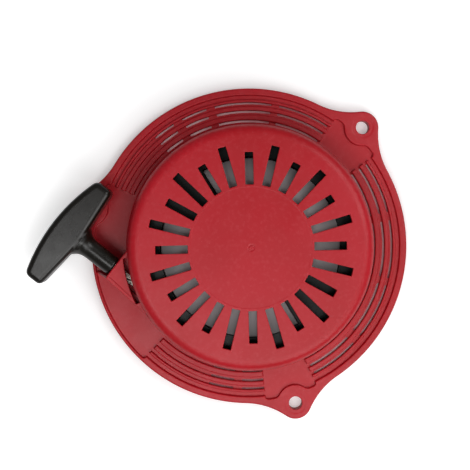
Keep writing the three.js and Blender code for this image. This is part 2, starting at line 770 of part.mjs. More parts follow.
place('ratchet_guide', ratchetGuide(), 'zinc');
place('friction_spring', frictionSpring(), 'springSteel');
place('thrust_washer', thrustWasher(), 'steel');
place('setting_screw', settingScrew(), 'zinc');

place('grip_handle', gripHandle(), 'grip', pullFrame);
place('grip_reinforcement', gripReinforcement(), 'zinc', pullFrame);
place('grip_knot', gripKnot(), 'rope', pullFrame);

export default root;
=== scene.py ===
import json
import math

import bmesh
import bpy
import numpy as np
from mathutils import Matrix, Vector


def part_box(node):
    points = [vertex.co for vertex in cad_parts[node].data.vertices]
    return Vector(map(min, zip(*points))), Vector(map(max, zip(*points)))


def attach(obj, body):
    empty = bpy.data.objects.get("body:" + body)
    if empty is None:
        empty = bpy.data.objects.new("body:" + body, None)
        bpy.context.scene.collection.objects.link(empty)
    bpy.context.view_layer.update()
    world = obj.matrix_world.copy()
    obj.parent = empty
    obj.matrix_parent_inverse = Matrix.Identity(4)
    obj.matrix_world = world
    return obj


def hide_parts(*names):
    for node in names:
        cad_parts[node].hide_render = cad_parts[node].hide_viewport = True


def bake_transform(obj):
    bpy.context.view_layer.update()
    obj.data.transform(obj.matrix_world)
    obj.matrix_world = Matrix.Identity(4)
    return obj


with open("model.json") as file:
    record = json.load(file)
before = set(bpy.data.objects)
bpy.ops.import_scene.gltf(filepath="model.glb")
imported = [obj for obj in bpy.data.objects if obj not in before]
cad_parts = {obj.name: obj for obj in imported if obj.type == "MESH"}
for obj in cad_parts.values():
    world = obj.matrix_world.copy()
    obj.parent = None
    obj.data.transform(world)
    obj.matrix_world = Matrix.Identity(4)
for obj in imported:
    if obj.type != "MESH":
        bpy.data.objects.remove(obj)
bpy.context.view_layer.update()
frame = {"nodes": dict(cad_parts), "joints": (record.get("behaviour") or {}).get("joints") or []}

# ------------------------------------------------------------------ sizes, in millimetres
# Places come from the frame's boxes; the rest are the sizes of the moulded detail.

MM = 0.001


def span(node):
    """Lowest and highest corner of a CAD node, in millimetres."""
    low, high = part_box(node)
    return low / MM, high / MM


def joint(name):
    return next(j for j in frame["joints"] if j["name"] == name)


PULL_AXIS = Vector(joint("grip_pull")["axis"])
PULL_ANGLE = math.atan2(PULL_AXIS.y, PULL_AXIS.x)
PULL_FRAME = Matrix.Rotation(PULL_ANGLE, 4, "Z")
TO_PULL = PULL_FRAME.inverted()


def pull_span(node):
    """Lowest and highest corner of a CAD node in the pull frame, whose +X is the rope's pull."""
    points = [TO_PULL @ (v.co / MM) for v in frame["nodes"][node].data.vertices]
    low = Vector([min(p[i] for p in points) for i in range(3)])
    high = Vector([max(p[i] for p in points) for i in range(3)])
    return low, high


ROPE_LOW, ROPE_HIGH = pull_span("rope_run")
ROPE_OFFSET = (ROPE_LOW.y + ROPE_HIGH.y) / 2
ROPE_Z = (ROPE_LOW.z + ROPE_HIGH.z) / 2
ROPE_R = (ROPE_HIGH.z - ROPE_LOW.z) / 2
ROPE_LINE = PULL_FRAME @ Matrix.Translation((0, ROPE_OFFSET, ROPE_Z))
Z_TO_X = Matrix(((0, 0, 1, 0), (1, 0, 0, 0), (0, 1, 0, 0), (0, 0, 0, 1)))

DOME_TOP = span("housing")[1].z
EAR_TOP = 8.0
RIM_R = 95.0
RIM_WIDTH = 4.0
RIM_JOIN_R = 92.3
FLOOR_TOP = 6.0
FLOOR_BOTTOM = 3.5
RECESS_R = 93.3
DOME_BASE_R = 73.5
DOME_DRAFT = 0.0699
DOME_SHOULDER = 6.6
DOME_SHELL = 2.5

RIBS = [(76.1, 79.1), (81.8, 84.3), (86.7, 88.2)]
SLOT_WIDTHS = [1.3, 1.25, 1.1]
LOUVRE_SPANS = [(57, 78), (81, 104), (107.5, 118), (122, 131), (253.5, 263.5),
                (267, 276), (297, 317), (321, 344), (347, 370.5), (374, 395)]
SMOOTH_SECTORS = [(36, 56), (156, 227), (276, 296)]

VENT_COUNT = 24
VENT_WIDTH = 4.75
VENT_TURN = 1.4
SHORT_VENT = (36.35, 55.0)
LONG_VENT = (36.35, 59.9)

EAR_ANGLES = (46.4, 166.4, 286.4)
EAR_CENTRE_R = 98.9
EAR_R = 9.65
EAR_HOLE_R = 4.0
EAR_FLARE_R = 46.0
EAR_BOSS_R = 10.5
EAR_BOSS_CENTRE_R = 98.3
EAR_EDGE = 1.0

BLOCK_TOP = 29.5
BLOCK_FRONT = pull_span("rope_guide")[1].x + 0.2
BLOCK_WALL = 3.0
BLOCK_SIDE = ((30.0, 68.3), (66.5, 65.4))
WEB_END = (62.8, 69.0)

POST_UPPER_R = 10.0
POST_R = 7.0
POST_STEP_Z = 24.6
POST_BOTTOM = span("threaded_insert")[0].z - 0.3

# ------------------------------------------------------------------ outlines


def arc(radius, start, end, step, centre=(0, 0)):
    """Points along an arc; angles in degrees."""
    count = max(1, math.ceil(abs(end - start) / step))
    points = []
    for i in range(count + 1):
        a = math.radians(start + (end - start) * i / count)
        points.append((centre[0] + radius * math.cos(a), centre[1] + radius * math.sin(a)))
    return points


def soften(points, steps=5):
    """A closed outline whose corners given as (x, y, reach) are rounded over that reach."""
    flat = [Vector(p[:2]) for p in points]
    reach = [p[2] if len(p) > 2 else 0.0 for p in points]
    count = len(flat)
    made = []
    keep = [True] * count
    corners = {}
    for i, r in enumerate(reach):
        if r <= 0:
            continue
        ends = []
        for way in (-1, 1):
            left, j, at = r, i, flat[i]
            while True:
                k = (j + way) % count
                length = (flat[k] - at).length
                if length > left or reach[k] > 0:
                    at = at.lerp(flat[k], min(left / max(length, 1e-9), 0.49 if reach[k] > 0 else 1.0))
                    break
                left -= length
                keep[k] = False
                j, at = k, flat[k]
            ends.append(at)
        corners[i] = ends
    for i in range(count):
        if i in corners:
            a, b = corners[i]
            for s in range(steps + 1):
                t = s / steps
                made.append(a * (1 - t) ** 2 + flat[i] * 2 * t * (1 - t) + b * t ** 2)
        elif keep[i]:
            made.append(flat[i])
    clean = []
    for p in made:
        if not clean or (p - clean[-1]).length > 1e-4:
            clean.append(p)
    if (clean[0] - clean[-1]).length < 1e-4:
        clean.pop()
    return [(p.x, p.y) for p in clean]


def offset(outline, distance):
    """The outline moved outwards by a distance; it must run anticlockwise."""
    if abs(distance) < 1e-9:
        return list(outline)
    count = len(outline)
    moved = []
    for i in range(count):
        before, here, after = (Vector(outline[(i + k) % count]) for k in (-1, 0, 1))
        a = (here - before).normalized()
        b = (after - here).normalized()
        na, nb = Vector((a.y, -a.x)), Vector((b.y, -b.x))
        mid = na + nb
        mid = mid.normalized() if mid.length > 1e-6 else na
        moved.append(tuple(here + mid * (distance / max(mid.dot(na), 0.35))))
    return moved


def quarter(radius, steps=4):
    """Depth and inset pairs of a quarter-round edge, from the side to the face."""
    turns = [math.pi / 2 * i / steps for i in range(steps + 1)]
    return [(radius * math.sin(a), radius * (1 - math.cos(a))) for a in turns]


# ------------------------------------------------------------------ meshes


def make(name, verts, faces):
    mesh = bpy.data.meshes.new(name)
    mesh.from_pydata([Vector(v) * MM for v in verts], [], faces)
    mesh.update()
    piece = bpy.data.objects.new(name, mesh)
    bpy.context.scene.collection.objects.link(piece)
    return piece


def skin(rows, sides):
    """Faces of a closed bar made of rings that follow one another, with a cap at each end."""
    faces = []
    for i in range(rows - 1):
        for k in range(sides):
            n = (k + 1) % sides
            faces.append([i * sides + k, i * sides + n, (i + 1) * sides + n, (i + 1) * sides + k])
    return faces + [list(range(sides))[::-1], [(rows - 1) * sides + k for k in range(sides)]]


def move(piece, matrix):
    """Moves a piece's mesh by a matrix in millimetres."""
    metres = matrix.copy()
    metres.translation = matrix.translation * MM
    piece.data.transform(metres)
    return piece


def outward(piece):
    bm = bmesh.new()
    bm.from_mesh(piece.data)
    bmesh.ops.remove_doubles(bm, verts=bm.verts, dist=1e-7)
    bmesh.ops.recalc_face_normals(bm, faces=bm.faces)
    if bm.calc_volume(signed=True) < 0:
        bmesh.ops.reverse_faces(bm, faces=bm.faces)
    bm.to_mesh(piece.data)
    bm.free()
    return piece


def revolve(name, loop, segments):
    """Turns a closed loop of (radius, z) points about Z. Points on the axis become one vertex."""
    verts, rows = [], []
    for r, z in loop:
        if r < 1e-6:
            rows.append([len(verts)] * segments)
            verts.append((0, 0, z))
        else:
            rows.append(range(len(verts), len(verts) + segments))
            for s in range(segments):
                a = 2 * math.pi * s / segments
                verts.append((r * math.cos(a), r * math.sin(a), z))
    faces = []
    for i, row in enumerate(rows):
        other = rows[(i + 1) % len(rows)]
        if loop[i][0] < 1e-6 and loop[(i + 1) % len(rows)][0] < 1e-6:
            continue
        for s in range(segments):
            t = (s + 1) % segments
            face = [row[s], row[t], other[t], other[s]]
            faces.append([v for k, v in enumerate(face) if v not in face[:k]])
    return outward(make(name, verts, faces))


def stack(name, outline, levels, matrix=None):
    """A closed solid from one outline drawn at several heights: levels are (z, outward offset)."""
    verts = [(x, y, z) for z, grow in levels for x, y in offset(outline, grow)]
    piece = make(name, verts, skin(len(levels), len(outline)))
    return outward(move(piece, matrix or Matrix()))


def boss_levels(bottom, top, edge):
    return [(bottom, 0.0)] + [(top - edge + d, -i) for d, i in quarter(edge)]


def pocket_levels(floor, top, foot, edge):
    """Levels of a cutter for a pocket with a rounded foot, whose rim is eased at height top."""
    rise = [(floor + foot - d, -i) for d, i in quarter(foot)][::-1] if foot else [(floor, 0.0)]
    ease = [(top - edge + edge * math.sin(a), edge * (1 - math.cos(a)))
            for a in (math.pi / 2 * i / 4 for i in range(1, 5))]
    return rise + [(top - edge, 0.0)] + ease + [(top + 2.0, edge)]


def rod(name, radius, x0, x1, y, z, segments, matrix=None):
    """A round bar along X."""
    ring = arc(radius, 0, 360, 360 / segments)[:-1]
    piece = stack(name, ring, [(x0, 0.0), (x1, 0.0)])
    return outward(move(piece, (matrix or Matrix()) @ Matrix.Translation((0, y, z)) @ Z_TO_X))


def frames(path):
    """Unit directions along a path and a pair of crosswise axes carried along it without twist."""
    count = len(path)
    along = [(path[min(i + 1, count - 1)] - path[max(i - 1, 0)]).normalized() for i in range(count)]
    side = along[0].orthogonal().normalized()
    rows = []
    for direction in along:
        side = (side - direction * side.dot(direction)).normalized()
        rows.append((direction, side, direction.cross(side)))
    return rows


def sweep(name, path, radius, sides, bulge=None):
    """A round bar along a path in millimetres. bulge(length, turn) adds to the radius."""
    verts, lengths = [], [0.0]
    for a, b in zip(path, path[1:]):
        lengths.append(lengths[-1] + (b - a).length)
    for point, length, (_, side, up) in zip(path, lengths, frames(path)):
        for k in range(sides):
            a = 2 * math.pi * k / sides
            reach = radius + (bulge(length, k / sides) if bulge else 0.0)
            verts.append(point + (side * math.cos(a) + up * math.sin(a)) * reach)
    piece = make(name, verts, skin(len(path), sides))
    layer = piece.data.uv_layers.new(name="rope")
    for face in piece.data.polygons:
        wrap = any(v % sides == sides - 1 for v in face.vertices) and len(face.vertices) == 4
        for loop in face.loop_indices:
            vertex = piece.data.loops[loop].vertex_index
            turn = (vertex % sides) / sides
            if wrap and vertex % sides == 0:
                turn = 1.0
            layer.data[loop].uv = (lengths[vertex // sides] * MM, turn)
    return piece


def merge(pieces):
    """Joins pieces that don't touch into one mesh."""
    bm = bmesh.new()
    for piece in pieces:
        bm.from_mesh(piece.data)
    mesh = bpy.data.meshes.new("joined")
    bm.to_mesh(mesh)
    bm.free()
    for piece in pieces[1:]:
        bpy.data.objects.remove(piece)
    pieces[0].data = mesh
    return pieces[0]


def triangulate(piece):
    """Splits every face into triangles, so that a boolean leaves no face with a hole in it."""
    bm = bmesh.new()
    bm.from_mesh(piece.data)
    bmesh.ops.triangulate(bm, faces=bm.faces[:])
    bm.to_mesh(piece.data)
    bm.free()


def boolean(base, tool, operation):
    triangulate(base)
    triangulate(tool)
    modifier = base.modifiers.new("cut", "BOOLEAN")
    modifier.operation = operation
    modifier.solver = "MANIFOLD"
    modifier.object = tool
    bpy.context.view_layer.update()
    graph = bpy.context.evaluated_depsgraph_get()
    mesh = bpy.data.meshes.new_from_object(base.evaluated_get(graph))
    base.modifiers.clear()
    base.data = mesh
    triangulate(base)
    bpy.data.objects.remove(tool)
    return base


def cut(base, tools):
    return boolean(base, merge(tools), "DIFFERENCE")


def add(base, tools):
    return boolean(base, merge(tools), "UNION")


def shade(piece, angle=32):
    """Smooth shading that keeps sharp edges and leaves large flat faces flat."""
    mesh = piece.data
    mesh.validate()
    mesh.polygons.foreach_set("use_smooth", [True] * len(mesh.polygons))
    mesh.set_sharp_from_angle(angle=math.radians(angle))
    weighted = piece.modifiers.new("weighted", "WEIGHTED_NORMAL")
    weighted.keep_sharp = True
    weighted.weight = 100
    return piece


# ------------------------------------------------------------------ material nodes


class Nodes:
    """Short names for building one material's node tree."""

    def __init__(self, name):
        self.material = bpy.data.materials.new(name)
        self.material.use_nodes = True
        self.tree = self.material.node_tree
        self.tree.nodes.clear()
        self.out = self.tree.nodes.new("ShaderNodeOutputMaterial")
        self.shader = self.tree.nodes.new("ShaderNodeBsdfPrincipled")
        self.link(self.shader.outputs[0], self.out.inputs[0])
        self.place = self.tree.nodes.new("ShaderNodeTexCoord").outputs["Object"]

    def link(self, a, b):
        self.tree.links.new(a, b)

    def put(self, target, value):
        if isinstance(value, bpy.types.NodeSocket):
            self.link(value, target)
        else:
            target.default_value = value

    def set(self, **values):
        for key, value in values.items():
            self.put(self.shader.inputs[key.replace("_", " ")], value)

    def node(self, kind, **inputs):
        made = self.tree.nodes.new(kind)
        for key, value in inputs.items():
            self.put(made.inputs[key.replace("_", " ")], value)
        return made

    def math(self, operation, a, b=0.0):
        made = self.tree.nodes.new("ShaderNodeMath")
        made.operation = operation
        self.put(made.inputs[0], a)
        self.put(made.inputs[1], b)
        return made.outputs[0]

    def noise(self, scale, detail, roughness=0.5, vector=None):
        made = self.node("ShaderNodeTexNoise", Scale=scale, Detail=detail, Roughness=roughness)
        self.link(vector or self.place, made.inputs["Vector"])
        return made.outputs["Fac"]

    def vector(self, operation, *values):
        made = self.tree.nodes.new("ShaderNodeVectorMath")
        made.operation = operation
        for target, value in zip(made.inputs, values):
            self.put(target, value)
        return made.outputs["Value" if operation in ("LENGTH", "DOT_PRODUCT") else "Vector"]

    def ramp(self, factor, low, high, a=0.0, b=1.0):
        made = self.tree.nodes.new("ShaderNodeMapRange")
        for target, value in zip(made.inputs, (factor, low, high, a, b)):
            self.put(target, value)
        return made.outputs[0]

    def mix(self, factor, a, b):
        made = self.tree.nodes.new("ShaderNodeMix")
        made.data_type = "RGBA"
        self.put(made.inputs[0], factor)
        self.put(made.inputs[6], a)
        self.put(made.inputs[7], b)
        return made.outputs[2]

    def bump(self, height, strength, distance, normal=None):
        made = self.node("ShaderNodeBump", Strength=strength, Distance=distance, Height=height)
        if normal is not None:
            self.link(normal, made.inputs["Normal"])
        return made.outputs[0]

    def soft_edge(self, radius):
        made = self.node("ShaderNodeBevel", Radius=radius)
        made.samples = 6
        return made.outputs[0]

    def edges(self, radius):
        """1 near edges and 0 on open faces, from how far a rounded normal turns."""
        normal = self.tree.nodes.new("ShaderNodeNewGeometry").outputs["Normal"]
        return self.ramp(self.vector("DOT_PRODUCT", self.soft_edge(radius), normal), 0.995, 0.86)


def hue(hex_code):
    """A display colour as linear RGBA."""
    values = [int(hex_code[i:i + 2], 16) / 255 for i in (0, 2, 4)]
    return tuple(v / 12.92 if v <= 0.04045 else ((v + 0.055) / 1.055) ** 2.4 for v in values) + (1.0,)


def moulded(name, base, deep, worn, roughness, grain, sheen, smooth_painted_sheen=None):
    """Moulded plastic: cloudy colour, fine spark-eroded grain, rounded and slightly worn edges."""
    edge = 0.00035
    n = Nodes(name)
    cloud = n.noise(18, 4)
    fine = n.noise(420, 3)
    colour = n.mix(n.ramp(cloud, 0.35, 0.7), hue(base), hue(deep))
    colour = n.mix(n.ramp(fine, 0.5, 0.75, 0.0, 0.18), colour, hue(worn))
    wear = n.math("MULTIPLY", n.edges(edge * 1.6), n.ramp(n.noise(160, 4), 0.35, 0.7))
    colour = n.mix(n.math("MULTIPLY", wear, 0.45), colour, hue(worn))
    dust = n.ramp(n.noise(900, 2), 0.68, 0.8)
    colour = n.mix(n.math("MULTIPLY", dust, 0.05), colour, hue("e8dcd8"))
    rough = n.math("ADD", n.ramp(n.noise(60, 4), 0.3, 0.7, roughness - 0.05, roughness + 0.06),
                   n.math("MULTIPLY", wear, 0.12))
    normal = n.bump(n.noise(2600, 2, 0.6), grain, 0.00004, n.soft_edge(edge))
    normal = n.bump(n.noise(45, 3), 0.12, 0.0004, normal)
    # Above the land's height: a smoother surface with a painted reflection, a pale colour that darkens away
    # from the axis.
    if smooth_painted_sheen:
        colour, rough = land_smoothing_and_painted_sheen(n, colour, rough, *smooth_painted_sheen)
    n.set(Base_Color=colour, Roughness=rough, Normal=normal, IOR=1.5, Specular_IOR_Level=sheen)
    return n.material


def land_smoothing_and_painted_sheen(n, colour, rough, height, pale, smooth):
    """Above a height in millimetres, makes the surface smoother and paints on a paler sheen, a painted
    reflection that darkens away from the axis.
    """
    fade_start, fade_end, darkest = 36 * MM, 52 * MM, 0.35
    z = n.node("ShaderNodeSeparateXYZ", Vector=n.place).outputs[2]
    above = n.ramp(z, (height - 0.3) * MM, (height + 0.1) * MM)
    reach = n.vector("LENGTH", n.vector("MULTIPLY", n.place, (1, 1, 0)))
    dark = tuple(v * darkest for v in pale[:3]) + (1.0,)
    smooth_painted_sheen = n.mix(n.ramp(reach, fade_start, fade_end), pale, dark)
    return n.mix(above, colour, smooth_painted_sheen), n.ramp(above, 0.0, 1.0, rough, smooth)


def metal(name, base, dark, roughness, scratch=0.3):
    """Bare or plated metal: brushed streaks, stained patches and brighter edges."""
    edge = 0.00015
    n = Nodes(name)
    streak = n.tree.nodes.new("ShaderNodeMapping")
    n.link(n.place, streak.inputs["Vector"])
    streak.inputs["Scale"].default_value = (1.0, 7.0, 1.0)
    lines = n.noise(500, 3, 0.6, streak.outputs[0])
    stain = n.ramp(n.noise(90, 5), 0.4, 0.72)
    colour = n.mix(stain, hue(base), hue(dark))
    colour = n.mix(n.math("MULTIPLY", n.edges(edge * 2), 0.5), colour, hue("f2f0ea"))
    rough = n.ramp(lines, 0.3, 0.7, roughness - 0.07, roughness + 0.1)
    normal = n.bump(lines, scratch, 0.00003, n.soft_edge(edge))
    n.set(Base_Color=colour, Roughness=rough, Metallic=1.0, Normal=normal)
    return n.material


ROPE_STRANDS = 12
ROPE_LAY = 2.5
ROPE_TRACERS = 4


def braid_height(length, turn):
    """Height, 0 to 1, of a round braid at a length in millimetres and a turn from 0 to 1."""
    a = turn * ROPE_STRANDS + length / ROPE_LAY
    b = turn * ROPE_STRANDS - length / ROPE_LAY
    return math.sqrt(abs(math.sin(math.pi * a) * math.sin(math.pi * b)))


def braid(name, straight):
    """Braided cord, cream with dark tracer strands. Lengths come from the pull axis or the UVs."""
    n = Nodes(name)
    if straight:
        turn = n.tree.nodes.new("ShaderNodeVectorRotate")
        turn.rotation_type = "Z_AXIS"
        n.link(n.place, turn.inputs["Vector"])
        turn.inputs["Angle"].default_value = -PULL_ANGLE
        split = n.node("ShaderNodeSeparateXYZ", Vector=turn.outputs[0])
        across = n.math("SUBTRACT", split.outputs[1], ROPE_OFFSET * MM)
        up = n.math("SUBTRACT", split.outputs[2], ROPE_Z * MM)
        around = n.math("DIVIDE", n.math("ARCTAN2", up, across), 2 * math.pi)
    else:
        uv = n.tree.nodes.new("ShaderNodeUVMap")
        uv.uv_map = "rope"
        split = n.node("ShaderNodeSeparateXYZ", Vector=uv.outputs[0])
        around = split.outputs[1]
    length = n.math("DIVIDE", split.outputs[0], ROPE_LAY * MM)
    strands = n.math("MULTIPLY", around, float(ROPE_STRANDS))
    a = n.math("ADD", strands, length)
    b = n.math("SUBTRACT", strands, length)
    parity = n.math("ADD", n.math("FLOOR", a), n.math("FLOOR", b))
    over = n.math("ABSOLUTE", n.math("MODULO", parity, 2.0))
    wave_a = n.math("SINE", n.math("MULTIPLY", n.math("FRACT", a), math.pi))
    wave_b = n.math("SINE", n.math("MULTIPLY", n.math("FRACT", b), math.pi))
    height = n.math("MULTIPLY", n.math("POWER", wave_a, 0.5), n.math("POWER", wave_b, 0.5))
    index_a = n.math("FLOORED_MODULO", n.math("FLOOR", a), float(ROPE_TRACERS))
    index_b = n.math("FLOORED_MODULO", n.math("FLOOR", b), float(ROPE_TRACERS))
    dark_a = n.math("MULTIPLY", n.math("LESS_THAN", index_a, 0.5), over)
    dark_b = n.math("MULTIPLY", n.math("LESS_THAN", index_b, 0.5), n.math("SUBTRACT", 1.0, over))
    tracer = n.math("MAXIMUM", dark_a, dark_b)
    fibre = n.noise(2200, 3, 0.6)
    cream = n.mix(n.ramp(fibre, 0.3, 0.7), hue("fffaf0"), hue("f0e4d2"))
    colour = n.mix(tracer, cream, hue("3a322c"))
    # The hollows between strands are darkened towards brown: painted shade.
    colour = n.mix(n.ramp(height, 0.4, 0.0, 0.0, 0.6), colour, hue("5a4836"))
    normal = n.bump(fibre, 0.25, 0.00008)
    normal = n.bump(height, 0.9, 0.0004, normal)
    n.set(Base_Color=colour, Roughness=0.85, Normal=normal, Sheen_Weight=0.3)
    return n.material


RED = moulded("red_plastic", "b31523", "a7111b", "c24a52", 0.36, 0.3, 0.3)
GRIP = moulded("grip_plastic", "13100b", "0f0c08", "302d27", 0.25, 0.3, 0.4)
STEEL = metal("steel", "a9abad", "85878a", 0.32)
PAWL_STEEL = metal("pawl_steel", "8d8f91", "66686b", 0.42, 0.5)
SPRING_STEEL = metal("spring_steel", "5b6067", "3b4048", 0.26, 0.2)
ZINC = metal("zinc_plate", "cfccba", "aaa68f", 0.3, 0.3)
BRASS = metal("brass", "c9a25a", "9a7838", 0.3, 0.3)
ROPE_STRAIGHT = braid("rope_straight", True)
ROPE_WOUND = braid("rope_wound", False)


def dress(piece, material, slot, body, *nodes):
    """Gives a finished piece its material and makes it ride on a body; the slot is not used."""
    piece.data.materials.clear()
    piece.data.materials.append(material)
    if nodes:
        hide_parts(*nodes)
    if body:
        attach(piece, body)
    return piece


# ------------------------------------------------------------------ housing


def housing_profile():
    """Section of the shell in (radius, z), from the post's foot round the rim to the dome's top."""
    rim_in = RIM_R - RIM_WIDTH
    rim_join = RIM_JOIN_R + 0.7
    wall_top = DOME_BASE_R - DOME_DRAFT * (DOME_TOP - FLOOR_TOP)
    inner_top = DOME_TOP - DOME_SHELL
    inner_base = DOME_BASE_R - DOME_SHELL + DOME_DRAFT * (FLOOR_TOP - FLOOR_BOTTOM)
    inner_wall_top = DOME_BASE_R - DOME_SHELL - DOME_DRAFT * (inner_top - FLOOR_TOP)
    step_r, step_depth = 34.8, 0.06
    gate_r, gate_depth = 2.3, 0.3
    points = [
        (0, POST_BOTTOM), (POST_R, POST_BOTTOM, 0.6), (POST_R, POST_STEP_Z, 0.4),
        (POST_UPPER_R, POST_STEP_Z, 0.7), (POST_UPPER_R, inner_top, 1.6),
        (inner_wall_top, inner_top, DOME_SHOULDER - 2), (inner_base, FLOOR_BOTTOM, 0.8),
        (rim_in, FLOOR_BOTTOM, 0.8), (rim_in, 0, 0.4), (rim_join, 0), (rim_join, EAR_TOP),
        (rim_in, EAR_TOP, 0.7), (rim_in - 0.25, FLOOR_TOP, 0.4),
    ]
    for inner, outer in reversed(RIBS):
        points += [(outer + 0.15, FLOOR_TOP, 0.3), (outer, EAR_TOP, 0.6), (inner, EAR_TOP, 0.6)]
        points += [(inner - 0.1, FLOOR_TOP, 0.25)]
    points += [
        (DOME_BASE_R, FLOOR_TOP, 1.2), (wall_top, DOME_TOP, DOME_SHOULDER),
        (step_r + 0.35, DOME_TOP, 0.15), (step_r, DOME_TOP - step_depth, 0.15),
        (gate_r, DOME_TOP - step_depth, 0.3), (gate_r - 0.5, DOME_TOP - gate_depth, 0.3),
        (1.3, DOME_TOP - gate_depth, 0.2), (1.1, DOME_TOP - step_depth, 0.15), (0, DOME_TOP - step_depth),
    ]
    return soften(points, 7)


def rim_outline():
    """Plan of the rim's outside with its three ears: round ends and hollow flares between arcs."""
    flare_x = RIM_R + EAR_FLARE_R
    reach = EAR_R + EAR_FLARE_R
    cosine = (flare_x ** 2 + EAR_CENTRE_R ** 2 - reach ** 2) / (2 * flare_x * EAR_CENTRE_R)
    spread = math.degrees(math.acos(cosine))
    fx, fy = flare_x * math.cos(math.radians(spread)), flare_x * math.sin(math.radians(spread))
    to_ear = math.degrees(math.atan2(-fy, EAR_CENTRE_R - fx))
    ear = arc(EAR_FLARE_R, 180 - spread, -to_ear, 2, (fx, -fy))
    ear += arc(EAR_R, -to_ear - 180, to_ear + 180, 5, (EAR_CENTRE_R, 0))[1:]
    ear += arc(EAR_FLARE_R, to_ear, spread - 180, 2, (fx, fy))[1:]
    points = []
    for angle in EAR_ANGLES:
        points += [tuple((turned(angle) @ Vector((x, y, 0)))[:2]) for x, y in ear]
        points += arc(RIM_R, angle + spread, angle + 120 - spread, 1.0)[1:-1]
    return points


def turned(degrees):
    return Matrix.Rotation(math.radians(degrees), 4, "Z")


def signed_area(outline):
    pairs = zip(outline, outline[1:] + outline[:1])
    return sum(a[0] * b[1] - b[0] * a[1] for a, b in pairs) / 2


def anticlockwise(outline):
    return outline if signed_area(outline) > 0 else outline[::-1]


def rim():
    """The rim band and the ears, open inside RIM_JOIN_R, where the louvre ring takes over."""
    levels = [(0.0, -0.6), (0.2, -0.2), (0.6, 0.0)] + boss_levels(1.0, EAR_TOP, EAR_EDGE)
    ring = stack("rim", rim_outline(), levels)
    return cut(ring, [stack("inside", arc(RIM_JOIN_R, 0, 360, 1.25)[:-1], [(-1, 0), (EAR_TOP + 1, 0)])])


def column(angle):
    """Solid stock round an ear's bolt, inside the rim band; the smooth sector's cutter shapes its wall."""
    ring = arc(EAR_BOSS_R + 1.6, 0, 360, 4, (EAR_BOSS_CENTRE_R, 0))[:-1]
    stock = stack("column", ring, [(0.0, 0.0), (EAR_TOP, 0.0)], turned(angle))
    inside = stack("inside", arc(RIM_JOIN_R + 0.5, 0, 360, 2)[:-1], [(-1, 0), (EAR_TOP + 1, 0)])
    return boolean(stock, inside, "INTERSECT")


def ear_hole(angle):
    """Bolt hole with a small chamfer and a shallow spot face."""
    pad, sunk, chamfer = 6.4, 0.18, 0.25
    loop = [(0, -1), (EAR_HOLE_R, -1), (EAR_HOLE_R, EAR_TOP - sunk - chamfer)]
    loop += [(EAR_HOLE_R + chamfer, EAR_TOP - sunk), (pad - 0.3, EAR_TOP - sunk)]
    loop += [(pad, EAR_TOP - 0.1), (pad + 0.3, EAR_TOP + 0.02), (pad + 0.3, EAR_TOP + 1), (0, EAR_TOP + 1)]
    return move(revolve("hole", loop, 64), turned(angle) @ Matrix.Translation((EAR_CENTRE_R, 0, 0)))


def smooth_sector(start, end):
    """Outline of a smooth sector; where an ear's column stands in it, the outline goes round it."""
    inner = 74.9
    edge_round = 2.4
    points = arc(inner, end, start, 1.5)
    points[0] = points[0] + (0.8,)
    points[-1] = points[-1] + (0.8,)
    ears = [a for a in EAR_ANGLES if start < a < end]
    outer = arc(RECESS_R, start, end, 1.0)
    if ears:
        centre = (turned(ears[0]) @ Vector((EAR_BOSS_CENTRE_R, 0, 0))).to_2d()
        around = EAR_BOSS_R
        kept = [p for p in outer if (Vector(p) - centre).length > around]
        d = centre.length
        bearing = math.degrees(math.atan2(centre.y, centre.x))
        meet = math.degrees(math.acos((d * d + around ** 2 - RECESS_R ** 2) / (2 * d * around)))
        before = [p for p in kept if math.degrees(math.atan2(p[1], p[0])) % 360 < ears[0]]
        after = [p for p in kept if math.degrees(math.atan2(p[1], p[0])) % 360 >= ears[0]]
        bend = arc(around, bearing + 180 + meet, bearing + 180 - meet, 4, centre)
        bend[0] = bend[0] + (2.6,)
        bend[-1] = bend[-1] + (2.6,)
        outer = before + bend + after
    outer[0] = outer[0][:2] + (edge_round,)
    outer[-1] = outer[-1][:2] + (edge_round,)
    return anticlockwise(soften(points + outer))


def arc_cutter(name, inner, outer, start, end, levels, corner=0.5, matrix=None):
    outside = arc(outer, start, end, 1.0)
    inside = arc(inner, end, start, 1.0)
    for line in (outside, inside):
        line[0] = line[0] + (corner,)
        line[-1] = line[-1] + (corner,)
    return stack(name, anticlockwise(soften(outside + inside, 3)), levels, matrix)


def louvre_slots():
    """A slot just inside each rib."""
    levels = [(FLOOR_BOTTOM - 2, 0.3), (FLOOR_BOTTOM - 0.1, 0.3), (FLOOR_BOTTOM + 0.4, 0.0)]
    levels.append((EAR_TOP + 1, 0.0))
    cutters = []
    for start, end in LOUVRE_SPANS:
        for (inner, _), width in zip(RIBS, SLOT_WIDTHS):
            edge = inner - 0.05
            cutters.append(arc_cutter("slot", edge - width, edge, start, end, levels))
    return cutters


def vents():
    levels = [(DOME_TOP - 6, 0.0)] + pocket_levels(DOME_TOP - 5, DOME_TOP, 0, 0.3)
    corner = 0.4
    half = VENT_WIDTH / 2
    cutters = []
    for i in range(VENT_COUNT):
        inner, outer = LONG_VENT if i % 2 else SHORT_VENT
        plan = [(inner, -half, corner), (outer, -half, corner), (outer, half, corner), (inner, half, corner)]
        cutters.append(stack("vent", soften(plan, 4), levels, turned(VENT_TURN + i * 360 / VENT_COUNT)))
    return cutters


def block_side(x):
    (x0, y0), (x1, y1) = BLOCK_SIDE
    return y0 + (y1 - y0) * (x - x0) / (x1 - x0)


def outlet_block():
    """The flat-topped wedge that carries the rope outlet; its inner side lies in the dome's wall."""
    inside = 71.4
    high = math.degrees(math.asin(block_side(26) / inside))
    low = math.degrees(math.acos(BLOCK_FRONT / inside))
    points = arc(inside, high, low, 2.0)
    points += [(BLOCK_FRONT, block_side(BLOCK_FRONT), 1.1)]
    levels = boss_levels(FLOOR_BOTTOM + 0.6, BLOCK_TOP, 0.7)
    return stack("block", anticlockwise(soften(points)), levels, PULL_FRAME)


